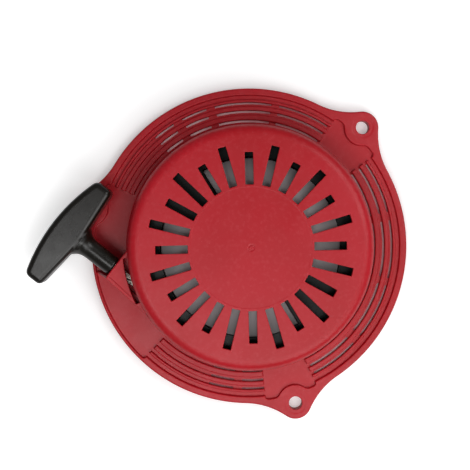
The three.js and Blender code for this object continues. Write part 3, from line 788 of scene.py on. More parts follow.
def outlet_web():
    """Thin wall beside the grip's stem; its top slopes down as it spreads out to the rim."""
    start, end = BLOCK_FRONT - 3, WEB_END[0]
    width = 1.3
    ease = 0.3
    steps = 24
    low = FLOOR_TOP - 1.0
    crest = BLOCK_TOP - 0.9
    verts = []
    for i in range(steps + 1):
        x = start + (end - start) * i / steps
        run = max(0.0, (x - BLOCK_FRONT) / (end - BLOCK_FRONT))
        top = crest - (crest - EAR_TOP) * run
        y = block_side(min(x, BLOCK_FRONT)) - 0.12
        y += (WEB_END[1] - y) * run
        section = [(y, low), (y, top - ease), (y - ease, top), (y - width + ease, top)]
        section += [(y - width, top - ease), (y - width, low)]
        verts += [(x, a, z) for a, z in section]
    return outward(move(make("web", verts, skin(steps + 1, len(section))), PULL_FRAME))


def block_groove():
    """Shallow line along the block's top, inside its outer wall."""
    x0, x1 = 37.0, BLOCK_FRONT - 1.2
    inset, width, depth = 1.9, 0.55, 0.3
    y0, y1 = block_side(x0) - inset, block_side(x1) - inset
    plan = anticlockwise([(x0, y0), (x1, y1), (x1, y1 - width), (x0, y0 - width)])
    return stack("groove", plan, [(BLOCK_TOP - depth, -0.1), (BLOCK_TOP + 1, 0.1)], PULL_FRAME)


def channel_cutters():
    """The rope's channel in the block, its hole through the wall and the opening above the coil."""
    wall = BLOCK_FRONT - BLOCK_WALL
    half = 5.2
    plan = [(20, ROPE_OFFSET - half), (wall, ROPE_OFFSET - half, 0.8), (wall, ROPE_OFFSET + half, 0.8)]
    plan += [(20, ROPE_OFFSET + half)]
    channel = stack("channel", soften(plan), [(17.8, 0), (28.0, 0)], PULL_FRAME)
    hole = rod("hole", 4.2, wall - 1, BLOCK_FRONT + 1, ROPE_OFFSET, ROPE_Z, 48, PULL_FRAME)
    levels = [(21, 0.0), (BLOCK_TOP - 0.4, 0.0), (BLOCK_TOP - 0.1, 0.12), (BLOCK_TOP + 0.1, 0.4)]
    levels.append((BLOCK_TOP + 2, 0.4))
    opening = arc_cutter("opening", 71.2, 74.5, 43, 64.4, levels, 0.6, PULL_FRAME)
    return [channel, hole, opening]


def build_housing():
    shell = revolve("housing_shell", housing_profile(), 288)
    add(shell, [rim()])
    floor = FLOOR_TOP - 0.04
    sectors = [stack("sector", smooth_sector(a, b), pocket_levels(floor, EAR_TOP, 0.5, 0.45))
               for a, b in SMOOTH_SECTORS]
    add(shell, [column(angle) for angle in EAR_ANGLES])
    cut(shell, sectors)
    add(shell, [outlet_block()])
    add(shell, [outlet_web()])
    cut(shell, [block_groove()])
    cut(shell, louvre_slots() + vents())
    for cutter in channel_cutters():
        cut(shell, [cutter])
    cut(shell, [ear_hole(angle) for angle in EAR_ANGLES])
    bore = stack("bore", arc(4.9, 0, 360, 8)[:-1], [(POST_BOTTOM - 1, 0), (31, 0)])
    notch = stack("notch", [(2, -1), (11, -1), (11, 1), (2, 1)], [(POST_STEP_Z - 1, 0), (34.6, 0)])
    cut(shell, [bore])
    cut(shell, [notch])
    return dress(shade(shell), RED, "red_plastic", "frame", "housing")


build_housing()

# ------------------------------------------------------------------ reel

REEL_LOW, REEL_HIGH = span("reel")
REEL_R = REEL_HIGH.x
REEL_BOTTOM = 17.5
HUB_R = 11.0
HUB_BOTTOM = REEL_LOW.z
WEB = (21.0, 24.0)
DRUM = (29.0, 31.5)
DRUM_TOP = REEL_HIGH.z
GROOVE_WALL = (41.8, 44.0)
GROOVE = (19.5, 26.5)
LAND_TOP = 32.0
LAND_R = 52.0
FLANGE_TOP = 28.0
BOSS_R = 7.0
BOSS_BOTTOM = 17.2
SPRING_POCKET_R = 5.3
PIVOT_HOLE_R = 2.8
REEL_RIBS = 12
COIL_TURNS = 2.5
ROPE_PITCH = 4.7

# The reel's land: above this height it is smoother and carries a painted reflection, a pale colour that
# darkens from 36 to 52 mm off the axis.
LAND_SMOOTHING_AND_SHEEN = (LAND_TOP - 0.3, hue("aaa5a6"), 0.24)
REEL = moulded("black_plastic", "1f2523", "161a19", "2c302e", 0.28, 0.1, 0.2, LAND_SMOOTHING_AND_SHEEN)


def pivot(number):
    """Where a pawl's pivot stands in plan, from its joint."""
    centre = Vector(joint(f"pawl_{number}_swing")["pos_m"]) / MM
    return centre * Vector((1, 1, 0))


def coil_point(turns):
    """Centre of the wound rope a number of turns in from where the straight run meets the coil."""
    a = PULL_ANGLE + math.pi / 2 + 2 * math.pi * turns
    r = ROPE_OFFSET - ROPE_PITCH * turns
    return Vector((r * math.cos(a), r * math.sin(a), ROPE_Z))


KNOT_TURN = math.degrees(math.atan2(coil_point(COIL_TURNS).y, coil_point(COIL_TURNS).x))


def reel_profile():
    bore = POST_R + 0.3
    return soften([
        (bore, HUB_BOTTOM, 0.3), (HUB_R, HUB_BOTTOM, 0.8), (HUB_R, WEB[0], 1.2), (DRUM[0], WEB[0], 1.0),
        (DRUM[0], REEL_BOTTOM, 0.5), (DRUM[1], REEL_BOTTOM, 0.5), (DRUM[1], GROOVE[1], 0.8),
        (GROOVE_WALL[0], GROOVE[1], 0.8), (GROOVE_WALL[0], REEL_BOTTOM, 0.5), (REEL_R, REEL_BOTTOM, 0.7),
        (REEL_R, GROOVE[0], 0.6), (GROOVE_WALL[1], GROOVE[0], 0.5), (GROOVE_WALL[1], GROOVE[1], 0.5),
        (REEL_R, GROOVE[1], 0.5), (REEL_R, FLANGE_TOP, 0.6), (LAND_R + 0.3, FLANGE_TOP, 0.8),
        (LAND_R, LAND_TOP, 0.8), (DRUM[1], LAND_TOP, 0.6), (DRUM[1], DRUM_TOP, 0.5),
        (DRUM[0], DRUM_TOP, 0.5), (DRUM[0], WEB[1], 0.8), (bore, WEB[1], 0.3),
    ], 4)


def reel_boss(number):
    ring = arc(BOSS_R, 0, 360, 6)[:-1]
    levels = [(BOSS_BOTTOM + 0.6 - d, -i) for d, i in quarter(0.6)][::-1]
    return stack("boss", ring, levels + [(WEB[0] + 1, 0.0)], Matrix.Translation(pivot(number)))


def reel_pivot_hole(number):
    chamfer, step = 0.3, WEB[0] - 0.6
    loop = [(0, BOSS_BOTTOM - 1), (SPRING_POCKET_R + chamfer, BOSS_BOTTOM - 1)]
    loop += [(SPRING_POCKET_R + chamfer, BOSS_BOTTOM), (SPRING_POCKET_R, BOSS_BOTTOM + chamfer)]
    loop += [(SPRING_POCKET_R, step), (PIVOT_HOLE_R, step), (PIVOT_HOLE_R, WEB[1] + 1), (0, WEB[1] + 1)]
    return move(revolve("hole", loop, 64), Matrix.Translation(pivot(number)))


def reel_rib(index):
    half, draft, bury = 0.8, 0.25, 0.5
    inner, outer = DRUM[1] - bury, GROOVE_WALL[0] + bury
    plan = [(inner, -half), (outer, -half), (outer, half), (inner, half)]
    levels = [(REEL_BOTTOM + 1, -draft), (REEL_BOTTOM + 1.3, 0), (GROOVE[1] + bury, draft)]
    return stack("rib", plan, levels, turned(KNOT_TURN + (index + 0.5) * 360 / REEL_RIBS))


def build_reel():
    reel = revolve("reel_shell", reel_profile(), 240)
    add(reel, [reel_boss(1), reel_boss(2)])
    add(reel, [reel_rib(i) for i in range(REEL_RIBS)])
    cut(reel, [reel_pivot_hole(1), reel_pivot_hole(2)])
    half = 20
    pull = math.degrees(PULL_ANGLE)
    levels = pocket_levels(FLANGE_TOP - 0.03, LAND_TOP, 0.4, 0.4)
    cut(reel, [arc_cutter("low", DRUM[1] + 1.5, LAND_R + 1.5, a - half, a + half, levels, 1.2)
               for a in (pull, pull + 180)])
    way = rod("way", ROPE_R + 0.6, DRUM[1] + 4, GROOVE_WALL[1] + 2, 0, ROPE_Z, 32, turned(KNOT_TURN))
    cut(reel, [way])
    return dress(shade(reel), REEL, "black_plastic", "rotor", "reel")


build_reel()

# ------------------------------------------------------------------ rope


def knot_path(size, thick, tail):
    """A tight overhand knot about the origin, entered along +X, with a short tail."""
    points = [Vector((-size * 1.25, 0.15, 0)), Vector((-size, 0.1, 0))]
    start, end, count = -0.3, 1.80, 90
    for i in range(count + 1):
        t = math.pi + 2 * math.pi * (start + (end - start) * i / count) / 2
        wide = 1 + 0.5 * math.cos(3 * t)
        points.append(Vector((size * 0.62 * wide * math.cos(2 * t), size * 0.72 * wide * math.sin(2 * t),
                              thick * math.sin(3 * t))))
    way = (points[-1] - points[-2]).normalized()
    points += [points[-1] + way * step for step in (0.8, tail)]
    return smooth_path(points, 3)


def smooth_path(points, parts):
    """Catmull-Rom curve through the points."""
    made = []
    for i in range(len(points) - 1):
        p0, p1, p2, p3 = (points[min(max(i + k, 0), len(points) - 1)] for k in (-1, 0, 1, 2))
        for step in range(parts):
            t = step / parts
            made.append(((2 * p1) + (p2 - p0) * t + (2 * p0 - 5 * p1 + 4 * p2 - p3) * t * t
                         + (3 * p1 - p0 - 3 * p2 + p3) * t ** 3) / 2)
    return made + [points[-1]]


BRAID_RISE = 0.3


def strands(length, turn):
    return BRAID_RISE * (braid_height(length, turn) - 1)


def build_coil():
    steps = 1100
    path = [coil_point(COIL_TURNS * i / steps) for i in range(steps + 1)]
    coil = sweep("rope_wound", path, ROPE_R, 24, strands)
    dress(shade(outward(coil), 180), ROPE_WOUND, "rope", "rotor", "rope_coil")


def build_run():
    """The straight rope. Between the outlet and the stem it stretches as the grip is pulled."""
    x0, x1 = ROPE_LOW.x, ROPE_HIGH.x
    still, held = BLOCK_FRONT + 1.5, BLOCK_FRONT + 6.5
    stations = [x0 + (still - 1 - x0) * i / 110 for i in range(111)]
    stations += [still - 1 + (held + 1 - still + 1) * i / 140 for i in range(1, 141)]
    stations += [held + 1 + (x1 - held - 1) * i / 110 for i in range(1, 111)]
    sides = 36
    verts = []
    for x in stations:
        near = min(max((abs(x - (still + held) / 2) - (held - still) / 2) / 1.0, 0.0), 1.0)
        for k in range(sides):
            a = 2 * math.pi * k / sides
            r = ROPE_R + near * strands(x, k / sides) - (1 - near) * BRAID_RISE * 0.35
            verts.append((x, ROPE_OFFSET + r * math.cos(a), ROPE_Z + r * math.sin(a)))
    run = move(make("rope_straight", verts, skin(len(stations), sides)), PULL_FRAME)
    shade(outward(run), 180)
    dress(run, ROPE_STRAIGHT, "rope", None, "rope_run")
    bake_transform(run)


def build_knots():
    knot = sweep("stopper_knot", knot_path(5.6, 2.5, 2.5), ROPE_R * 0.84, 20, strands)
    low, _ = pull_span("grip_knot")
    move(knot, PULL_FRAME @ Matrix.Translation((low.x + 5.2, ROPE_OFFSET, ROPE_Z)))
    dress(shade(outward(knot), 180), ROPE_WOUND, "rope", "grip", "grip_knot")
    inner = sweep("reel_stopper_knot", knot_path(4.6, 1.9, 1.2), ROPE_R * 0.8, 20, strands)
    centre = (DRUM[1] + GROOVE_WALL[0]) / 2
    flip = Matrix.Rotation(math.pi, 4, "Z")
    move(inner, turned(KNOT_TURN) @ Matrix.Translation((centre, 0, ROPE_Z - 0.9)) @ flip)
    dress(shade(outward(inner), 180), ROPE_WOUND, "rope", "rotor", "reel_knot")


build_coil()
build_run()
build_knots()

# ------------------------------------------------------------------ grip

GRIP_LOW, GRIP_HIGH = pull_span("grip_handle")
GRIP_HALF = (GRIP_HIGH.y - GRIP_LOW.y) / 2
GRIP_BACK = GRIP_HIGH.x
GRIP_BACK_END = GRIP_BACK - 5.6
GRIP_FRONT = GRIP_BACK - 19.8
GRIP_FRONT_END = GRIP_FRONT + 3.2
GRIP_EDGE = 3.2
STEM_TIP = GRIP_LOW.x
STEM_R = 5.8
STEM_REACH = 5.0
STEM_BLEND = 8.0
POCKET_FLOOR = pull_span("grip_reinforcement")[0].x - 0.3
POCKET_HALF_WIDTH = 9.0
POCKET_HALF_HEIGHT = 5.0
GRIP_VOXEL = 0.55
GRIP_PASSES = 7


def grip_plan():
    """Outline of the bar about the rope's line: a bowed back and nearly straight inner sides."""
    half = GRIP_HALF
    points = [(GRIP_FRONT, 0), (GRIP_FRONT_END, -half, 3.2)]
    steps = 14
    for i in range(steps + 1):
        y = -half + 2 * half * i / steps
        bow = (GRIP_BACK - GRIP_BACK_END) * (1 - (y / half) ** 2)
        points.append((GRIP_BACK_END + bow, y) + ((3.4,) if i in (0, steps) else ()))
    points.append((GRIP_FRONT_END, half, 3.2))
    return anticlockwise(soften(points, 8))


def grip_distance(points, plan):
    """Signed distance, in millimetres, from points to the bar blended with its stem."""
    p = points[:, :2]
    inside = np.zeros(len(p), bool)
    best = np.full(len(p), 1e9)
    for a, b in zip(plan, plan[1:] + plan[:1]):
        a, b = np.array(a), np.array(b)
        e, w = b - a, p - a
        t = np.clip(w @ e / (e @ e), 0, 1)
        best = np.minimum(best, np.linalg.norm(w - t[:, None] * e, axis=1))
        crossing = (a[1] > p[:, 1]) != (b[1] > p[:, 1])
        with np.errstate(divide="ignore", invalid="ignore"):
            x = a[0] + (p[:, 1] - a[1]) * e[0] / e[1]
        inside ^= crossing & (p[:, 0] < x)
    flat = np.where(inside, -best, best) + GRIP_EDGE
    high = np.abs(points[:, 2]) - (GRIP_HIGH.z - GRIP_LOW.z) / 2 + GRIP_EDGE
    outside = np.hypot(np.maximum(flat, 0), np.maximum(high, 0))
    bar = np.minimum(np.maximum(flat, high), 0) + outside - GRIP_EDGE
    around = np.hypot(points[:, 1], points[:, 2])
    edge = 1.0
    side = around - STEM_R + edge
    tip = np.maximum(STEM_TIP - points[:, 0], points[:, 0] - GRIP_FRONT - STEM_REACH) + edge
    stem = np.minimum(np.maximum(side, tip), 0) + np.hypot(np.maximum(side, 0), np.maximum(tip, 0)) - edge
    inward = np.clip((points[:, 0] - GRIP_FRONT) / STEM_REACH, 0, 1)
    blend = STEM_BLEND * (1 - inward) ** 2 + 0.2
    h = np.clip(0.5 + 0.5 * (stem - bar) / blend, 0, 1)
    return stem * (1 - h) + bar * h - blend * h * (1 - h)


def build_grip():
    """Remeshes the bar and its stem, pulls the mesh onto the blended shape and cuts the openings."""
    plan = grip_plan()
    half = (GRIP_HIGH.z - GRIP_LOW.z) / 2
    grip = stack("grip_body", plan, [(-half, 0), (half, 0)])
    add(grip, [rod("stem", STEM_R + 0.5, STEM_TIP, GRIP_FRONT + STEM_REACH, 0, 0, 48)])
    remesh = grip.modifiers.new("remesh", "REMESH")
    remesh.mode = "VOXEL"
    remesh.voxel_size = GRIP_VOXEL * MM
    remesh.use_smooth_shade = True
    bpy.context.view_layer.update()
    mesh = bpy.data.meshes.new_from_object(grip.evaluated_get(bpy.context.evaluated_depsgraph_get()))
    grip.modifiers.clear()
    grip.data = mesh
    co = np.zeros(len(mesh.vertices) * 3)
    mesh.vertices.foreach_get("co", co)
    points = co.reshape(-1, 3) / MM
    step = 0.02
    for _ in range(GRIP_PASSES):
        d = grip_distance(points, plan)
        grad = np.stack([grip_distance(points + np.eye(3)[k] * step, plan) - d for k in range(3)], 1) / step
        grad /= np.maximum(np.linalg.norm(grad, axis=1), 0.3)[:, None]
        points -= grad * np.clip(d, -1.5, 1.5)[:, None]
    mesh.vertices.foreach_set("co", (points * MM).ravel())
    mesh.update()
    outward(move(grip, ROPE_LINE))
    wide, high = POCKET_HALF_WIDTH, POCKET_HALF_HEIGHT
    plan = soften([(POCKET_FLOOR, -wide, 1.0), (GRIP_BACK + 3, -wide - 0.4), (GRIP_BACK + 3, wide + 0.4),
                   (POCKET_FLOOR, wide, 1.0)], 4)
    levels = [(-high, -0.5), (-high + 0.4, 0), (high - 0.4, 0), (high, -0.5)]
    cut(grip, [stack("pocket", anticlockwise(plan), levels, ROPE_LINE)])
    cut(grip, [rod("bore", ROPE_R + 0.5, STEM_TIP - 1, POCKET_FLOOR + 1, 0, 0, 32, ROPE_LINE)])
    return dress(shade(grip, 40), GRIP, "grip_plastic", "grip", "grip_handle")


build_grip()

# ------------------------------------------------------------------ hardware

PAWL_LOW, PAWL_HIGH = 11.0, 15.6
GUIDE_LOW, GUIDE_HIGH = span("ratchet_guide")[0].z, span("ratchet_guide")[1].z
GUIDE_R = 17.5
GUIDE_LOBE_R = 5.2
GUIDE_HOLE_R = 5.3
CAM_PIN = Vector((-1, -6))
CAM_PIN_R = 1.8
CAM_GAP = 0.5
PIVOT_PIN_R = 2.5
PAWL_SPRING_R = 4.1
PAWL_SWING = 28.0
WIRE_R = 0.4
PAWL_BODIES = {1: "pawl_a", 2: "pawl_b"}


def pivot_bearing(number):
    return math.degrees(math.atan2(pivot(number).y, pivot(number).x))


def at_pivot(number):
    """Places a part made about a pawl's pivot, turned as the pawl rests."""
    return Matrix.Translation(pivot(number)) @ turned(pivot_bearing(number))


def disc_loop(radius, bottom, top, edge, inner=0.0):
    """Section of a washer or a pin with chamfered edges."""
    loop = [(radius - edge, bottom), (radius, bottom + edge), (radius, top - edge), (radius - edge, top)]
    if inner:
        loop += [(inner + edge, top), (inner, top - edge)]
        return loop + [(inner, bottom + edge), (inner + edge, bottom)]
    return loop + [(0, top), (0, bottom)]


def threaded(name, minor, major, pitch, bottom, top):
    """A bar along Z with a helical vee thread."""
    segments, steps = 48, 8
    rows = int((top - bottom) / pitch * steps)
    verts = []
    for i in range(rows + 1):
        z = bottom + (top - bottom) * i / rows
        for s in range(segments):
            part = (z / pitch - s / segments) % 1.0
            r = minor + (major - minor) * min(1.0, max(0.0, 1.25 - 2.5 * abs(part - 0.5)))
            a = 2 * math.pi * s / segments
            verts.append((r * math.cos(a), r * math.sin(a), z))
    return outward(make(name, verts, skin(rows + 1, segments)))


def plate_levels(bottom, top, edge):
    """Levels of a plate with rounded edges above and below."""
    turns = quarter(edge, 3)
    return [(bottom + edge - d, -i) for d, i in turns][::-1] + [(top - edge + d, -i) for d, i in turns]


def build_insert():
    low, high = span("threaded_insert")
    insert = revolve("brass_insert", disc_loop(4.6, low.z, high.z, 0.3), 96)
    cut(insert, [threaded("bore", 3.1, 3.35, 1.0, low.z - 1, high.z + 1)])
    lead = [(0, low.z - 1), (3.9, low.z - 1), (3.9, low.z), (3.2, low.z + 0.7), (0, low.z + 0.7)]
    cut(insert, [revolve("lead", lead, 64)])
    dress(shade(insert), BRASS, "brass", "frame", "threaded_insert")


def build_eyelet():
    """Rolled eyelet, turned about the rope's line."""
    low, high = pull_span("rope_guide")
    hole, tube, flange = 2.9, 3.9, 4.7
    lip, wall = high.x, low.x
    loop = soften([
        (tube, lip, 0.45), (hole + 0.25, lip, 0.5), (hole, lip - 1.2), (hole, wall + 1.2),
        (hole + 0.35, wall, 0.5), (flange, wall, 0.4), (flange, wall + 0.8, 0.3), (tube, wall + 0.8, 0.1),
    ], 5)
    eyelet = revolve("rope_eyelet", loop, 96)
    move(eyelet, ROPE_LINE @ Z_TO_X)
    dress(shade(outward(eyelet)), STEEL, "steel", "frame", "rope_guide")


def ribbon(name, path, half, bottom, top, edge):
    """A strip standing on edge along a plan path, with rounded long edges."""
    section = [(-half + edge, bottom), (half - edge, bottom), (half, bottom + edge), (half, top - edge),
               (half - edge, top), (-half + edge, top), (-half, top - edge), (-half, bottom + edge)]
    verts = []
    last = len(path) - 1
    for i, p in enumerate(path):
        way = (path[min(i + 1, last)] - path[max(i - 1, 0)]).normalized()
        side = Vector((way.y, -way.x))
        verts += [(p.x + side.x * u, p.y + side.y * u, z) for u, z in section]
    return outward(make(name, verts, skin(len(path), len(section))))


def build_mainspring():
    low, high = span("mainspring")
    half, inner, outer, turns, per_turn = 0.35, 11.2, 28.0, 7, 90
    path = [Vector(p) for p in ((5.6, -half), (10.4, -half), (10.95, -0.3), (11.3, -0.05))]
    for i in range(3, turns * per_turn + 1):
        a = 2 * math.pi * i / per_turn
        r = inner + half + (outer - inner) * i / (turns * per_turn)
        path.append(Vector((r * math.cos(a), r * math.sin(a))))
    spring = ribbon("power_spring", path, half, low.z, high.z, 0.12)
    dress(shade(spring), SPRING_STEEL, "spring_steel", "frame", "mainspring")


def pawl_plan():
    """A round eye about the pivot and a tapering tail with a hooked tip."""
    eye = 4.9

    def bend(a, b, c):
        return [tuple(Vector(a) * (1 - t) ** 2 + Vector(b) * 2 * t * (1 - t) + Vector(c) * t * t)
                for t in (i / 10 for i in range(11))]

    points = arc(eye, 0, 180, 6)
    points += bend((-eye, 0), (-4.6, -9), (-6.2, -18.5))[1:-1]
    points += [(-6.2, -18.5, 0.8), (-2.2, -22, 0.8), (1.4, -19.6, 0.8)]
    points += bend((1.4, -19.6), (4.2, -9), (eye, 0))[1:-1]
    return anticlockwise(soften(points, 5))


def build_pawl(number):
    lever = stack(f"drive_pawl_{number}", pawl_plan(), plate_levels(PAWL_LOW, PAWL_HIGH, 0.45))
    pin_top = span(f"pawl_{number}")[1].z
    add(lever, [revolve("pin", disc_loop(PIVOT_PIN_R, PAWL_LOW + 1, pin_top, 0.35), 48)])
    cam = revolve("cam", disc_loop(CAM_PIN_R, span(f"pawl_{number}")[0].z, PAWL_LOW + 1, 0.3), 40)
    add(lever, [move(cam, Matrix.Translation(CAM_PIN.to_3d()))])
    foot, deep = PAWL_LOW - 1, PAWL_LOW + 0.5
    dimple = [(0, foot), (1.5, foot), (1.5, PAWL_LOW), (0.9, deep), (0, deep)]
    cut(lever, [revolve("dimple", dimple, 32)])
    move(lever, at_pivot(number))
    dress(shade(lever), PAWL_STEEL, "pawl_steel", PAWL_BODIES[number], f"pawl_{number}")


def build_pawl_spring(number):
    """Torsion spring round the pivot pin with one leg along the pawl."""
    turns, rise, coil_steps = 2.25, 2.6, 150
    foot = PAWL_HIGH + 1.2
    path = []
    for i in range(coil_steps):
        left = 1 - i / coil_steps
        a = 2 * math.pi * turns * left
        path.append(Vector((PAWL_SPRING_R * math.cos(a), PAWL_SPRING_R * math.sin(a), foot + rise * left)))
    path += [Vector((PAWL_SPRING_R, -9 * t, foot - 0.5 * t)) for t in (0.0, 0.1, 0.3, 0.6, 0.85, 1.0)]
    spring = sweep(f"torsion_spring_{number}", path, WIRE_R, 14)
    shade(outward(move(spring, at_pivot(number))), 50)
    dress(spring, SPRING_STEEL, "spring_steel", PAWL_BODIES[number], f"pawl_spring_{number}")


def cam_path():
    """The cam pin's path over the guide while the pawl swings out."""
    steps = 28
    points = []
    for i in range(steps + 1):
        swing = math.radians(PAWL_SWING * i / steps)
        spun = Matrix.Rotation(swing, 2) @ CAM_PIN
        spun.x += pivot(1).length
        points.append(Matrix.Rotation(-swing, 2) @ spun)
    return points


def track_outline(half):
    """Outline of a band of the given half width about the cam pin's path."""
    path = cam_path()
    right, left = [], []
    for i, p in enumerate(path):
        way = (path[min(i + 1, len(path) - 1)] - path[max(i - 1, 0)]).normalized()
        across = Vector((way.y, -way.x)) * half
        right.append(tuple(p + across))
        left.append(tuple(p - across))
    caps = []
    for p, q in ((path[-1], path[-2]), (path[0], path[1])):
        way = (p - q).normalized()
        bearing = math.degrees(math.atan2(way.y, way.x))
        caps.append(arc(half, bearing - 90, bearing + 90, 10, p)[1:-1])
    return anticlockwise(right + caps[0] + left[::-1] + caps[1])


def build_guide():
    """Round plate with two lobes, each with a cam slot for one pawl's pin."""
    bottom, top = GUIDE_LOW, GUIDE_HIGH
    edge, chamfer = 0.3, 0.2
    plate = stack("cam_guide", arc(GUIDE_R, 0, 360, 2)[:-1], plate_levels(bottom, top, edge))
    slots = []
    eased = [(bottom - 1, chamfer), (bottom, chamfer), (bottom + chamfer, 0.0)]
    eased += [(top - chamfer, 0.0), (top, chamfer), (top + 1, chamfer)]
    for number in (1, 2):
        at = turned(pivot_bearing(number))
        add(plate, [stack("lobe", track_outline(GUIDE_LOBE_R), plate_levels(bottom, top, edge), at)])
        slots.append(stack("slot", track_outline(CAM_PIN_R + CAM_GAP), eased, at))
    cut(plate, slots)
    hole = [(0, bottom - 1)] + [(GUIDE_HOLE_R + grow, z) for z, grow in eased] + [(0, top + 1)]
    cut(plate, [revolve("hole", hole, 96)])
    dress(shade(plate), ZINC, "zinc_plate", "guide", "ratchet_guide")


def build_friction_spring():
    low, high = span("friction_spring")
    inner, outer, waves, height = 5.9, 9.2, 3, 0.3
    middle = (low.z + high.z) / 2
    ring = revolve("wave_washer", disc_loop(outer, middle - 0.2, middle + 0.2, 0.08, inner), 144)
    for v in ring.data.vertices:
        v.co.z += height * MM * math.cos(waves * math.atan2(v.co.y, v.co.x))
    dress(shade(ring), SPRING_STEEL, "spring_steel", "frame", "friction_spring")


def build_washer():
    low, high = span("thrust_washer")
    washer = revolve("flat_washer", disc_loop(high.x, low.z, high.z, 0.15, 3.4), 128)
    dress(shade(washer), STEEL, "steel", "frame", "thrust_washer")


def build_screw():
    """Hex flange screw with the shoulder that the guide turns on."""
    top = span("setting_screw")[1].z
    hexagon = arc(5.6, 0, 360, 60)[:-1]
    head = stack("flange_screw", hexagon, [(0, 0), (6.2, 0)])
    crown = revolve("crown", [(0, 0), (4.55, 0), (5.7, 0.62), (5.7, 6.2), (0, 6.2)], 96)
    boolean(head, crown, "INTERSECT")
    body = soften([(0, 5.4), (5.2, 5.4), (5.2, 5.9, 0.3), (8.4, 6.2, 0.4), (9, 6.9, 0.3), (9, 8, 0.2),
                   (5, 8, 0.2), (5, 11.3), (4.8, 11.5), (2.4, 11.5), (2.4, 12.2), (0, 12.2)], 4)
    add(head, [revolve("body", body, 128)])
    add(head, [threaded("shank", 2.55, 2.9, 1.0, 11.4, top - 0.6)])
    add(head, [revolve("tip", [(0, top - 1), (2.5, top - 1), (2.5, top - 0.5), (2.0, top), (0, top)], 48)])
    dress(shade(head), ZINC, "zinc_plate", "frame", "setting_screw")


def build_knot_plate():
    low, high = pull_span("grip_reinforcement")
    wide, tall, corner = (high.y - low.y) / 2, (high.z - low.z) / 2, 1.6
    signs = ((-1, -1), (1, -1), (1, 1), (-1, 1))
    plan = soften([(wide * a, tall * b, corner) for a, b in signs], 6)
    plate = stack("knot_plate", plan, plate_levels(low.x, high.x, 0.3))
    hole = ROPE_R + 0.4
    loop = [(0, low.x - 1), (hole, low.x - 1), (hole, high.x - 0.3), (hole + 0.3, high.x)]
    loop += [(hole + 0.3, high.x + 1), (0, high.x + 1)]
    cut(plate, [revolve("hole", loop, 48)])
    move(plate, ROPE_LINE @ Z_TO_X)
    dress(shade(outward(plate)), ZINC, "zinc_plate", "grip", "grip_reinforcement")


build_insert()
build_eyelet()
build_mainspring()
for which in (1, 2):
    build_pawl(which)
    build_pawl_spring(which)
build_guide()
build_friction_spring()
build_washer()
build_screw()
build_knot_plate()

# ------------------------------------------------------------------ stage, camera and light


# Glow of the paper under the object, beside it, and added further out, with each one's reach; only the
# camera sees it. The weaker glow under and beside the object is painted shade, and the red tint under the
# rim is a painted red bounce light.
GLOW_UNDER, GLOW_BESIDE, GLOW_FAR = 0.15, 0.29, 0.45
GLOW_RIM = (88 * MM, 97 * MM)
GLOW_SPREAD = (100 * MM, 150 * MM)
PAINTED_RED_BOUNCE = (1.0, 0.25, 0.28, 1.0)
PAINTED_BOUNCE_REACH = (90 * MM, 92 * MM)
WHITE = (1.0, 1.0, 1.0, 1.0)
PAPER = ((0.86, 0.86, 0.865, 1), (0.88, 0.88, 0.88, 1))
FLOOR_SIZE = 3000
FLOOR_DROP = 0.2


def build_stage():
    """White paper floor; seen from under the floor it turns clear, so the underside shows."""
    corners = [(-1, -1), (1, -1), (1, 1), (-1, 1)]
    floor = make("floor", [(FLOOR_SIZE * x, FLOOR_SIZE * y, 0) for x, y in corners], [[0, 1, 2, 3]])
    floor.location.z = -FLOOR_DROP * MM
    n = Nodes("floor_paper")
    away = n.vector("LENGTH", n.place)
    # Camera-only glow: weaker under and beside the object as painted shade, and red under the rim as a
    # painted red bounce light.
    glow = n.math("ADD", n.ramp(away, *GLOW_RIM, GLOW_UNDER, GLOW_BESIDE),
                  n.ramp(away, *GLOW_SPREAD, 0.0, GLOW_FAR))
    seen = n.tree.nodes.new("ShaderNodeLightPath").outputs["Is Camera Ray"]
    n.set(Base_Color=n.mix(n.ramp(n.noise(3, 2), 0.3, 0.7), *PAPER), Roughness=0.8,
          Specular_IOR_Level=0.0, Emission_Strength=n.math("MULTIPLY", glow, seen),
          Emission_Color=n.mix(n.ramp(away, *PAINTED_BOUNCE_REACH), PAINTED_RED_BOUNCE, WHITE))
    eye = n.tree.nodes.new("ShaderNodeVectorTransform")
    eye.vector_type, eye.convert_from, eye.convert_to = "POINT", "CAMERA", "WORLD"
    eye.inputs[0].default_value = (0, 0, 0)
    height = n.node("ShaderNodeSeparateXYZ", Vector=eye.outputs[0]).outputs[2]
    below = n.math("LESS_THAN", height, 0.0)
    clear = n.tree.nodes.new("ShaderNodeBsdfTransparent")
    either = n.tree.nodes.new("ShaderNodeMixShader")
    n.link(below, either.inputs[0])
    n.link(n.shader.outputs[0], either.inputs[1])
    n.link(clear.outputs[0], either.inputs[2])
    n.link(either.outputs[0], n.out.inputs[0])
    floor.data.materials.append(n.material)


def area_light(name, place, width, power):
    """A square soft box that faces the object."""
    light = bpy.data.lights.new(name, "AREA")
    light.size = width
    light.energy = power
    holder = bpy.data.objects.new(name, light)
    bpy.context.scene.collection.objects.link(holder)
    holder.location = place
    holder.visible_camera = False
    holder.rotation_mode = "QUATERNION"
    holder.rotation_quaternion = (-Vector(place)).to_track_quat("-Z", "Y")


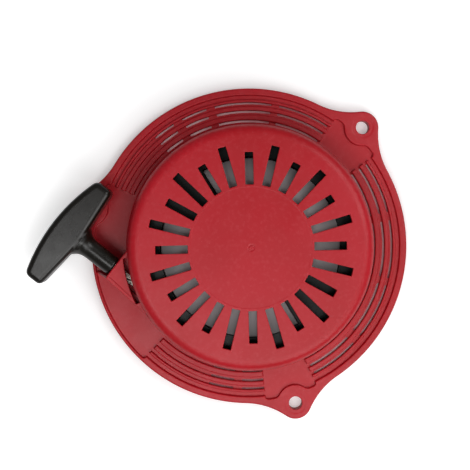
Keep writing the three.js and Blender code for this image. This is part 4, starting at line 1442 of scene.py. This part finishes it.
LIGHTS = [
    # name, place in metres, width in metres, power in watts
    ("overhead", (0.04, -0.24, 0.46), 0.36, 1.0),
    ("north_east", (0.36, 0.16, 0.6), 0.35, 1.4),
    ("south_east", (0.45, -0.45, 0.6), 0.4, 1.5),
    ("south_west", (-0.25, -0.15, 0.9), 0.25, 1.1),
    ("under_left", (-0.4, -0.3, -0.5), 0.5, 3.0),
    ("under_right", (0.4, 0.2, -0.6), 0.5, 3.0),
]
WORLD_SEEN = 0.92
WORLD_LIGHT = 0.19


def build_lights():
    """Soft boxes round the object. The two under the floor only count when it turns clear."""
    for light in LIGHTS:
        area_light(*light)
    world = bpy.data.worlds.new("studio")
    bpy.context.scene.world = world
    world.use_nodes = True
    tree = world.node_tree
    seen = tree.nodes.new("ShaderNodeLightPath").outputs["Is Camera Ray"]
    strength = tree.nodes.new("ShaderNodeMapRange")
    tree.links.new(seen, strength.inputs["Value"])
    strength.inputs["To Min"].default_value = WORLD_LIGHT
    strength.inputs["To Max"].default_value = WORLD_SEEN
    back = tree.nodes["Background"]
    back.inputs[0].default_value = WHITE
    tree.links.new(strength.outputs[0], back.inputs[1])
    bpy.context.scene.view_settings.view_transform = "Standard"


CAMERA_PLACE = Vector((-20.1, 18.7, EAR_TOP + 650))
CAMERA_AIM = Vector((-8.7, 6.8, EAR_TOP))
CAMERA_SENSOR = 36
CAMERA_LENS = 82.7


def build_camera():
    """Looks down on the dome from slightly beyond its rope side."""
    camera = bpy.data.cameras.new("camera")
    camera.sensor_width = CAMERA_SENSOR
    camera.lens = CAMERA_LENS
    holder = bpy.data.objects.new("camera", camera)
    bpy.context.scene.collection.objects.link(holder)
    forward = (CAMERA_AIM - CAMERA_PLACE).normalized()
    right = forward.cross(Vector((0, 1, 0))).normalized()
    up = right.cross(forward)
    turn = Matrix((right, up, -forward)).transposed().to_4x4()
    holder.matrix_world = Matrix.Translation(CAMERA_PLACE * MM) @ turn
    bpy.context.scene.camera = holder


build_stage()
build_lights()
build_camera()
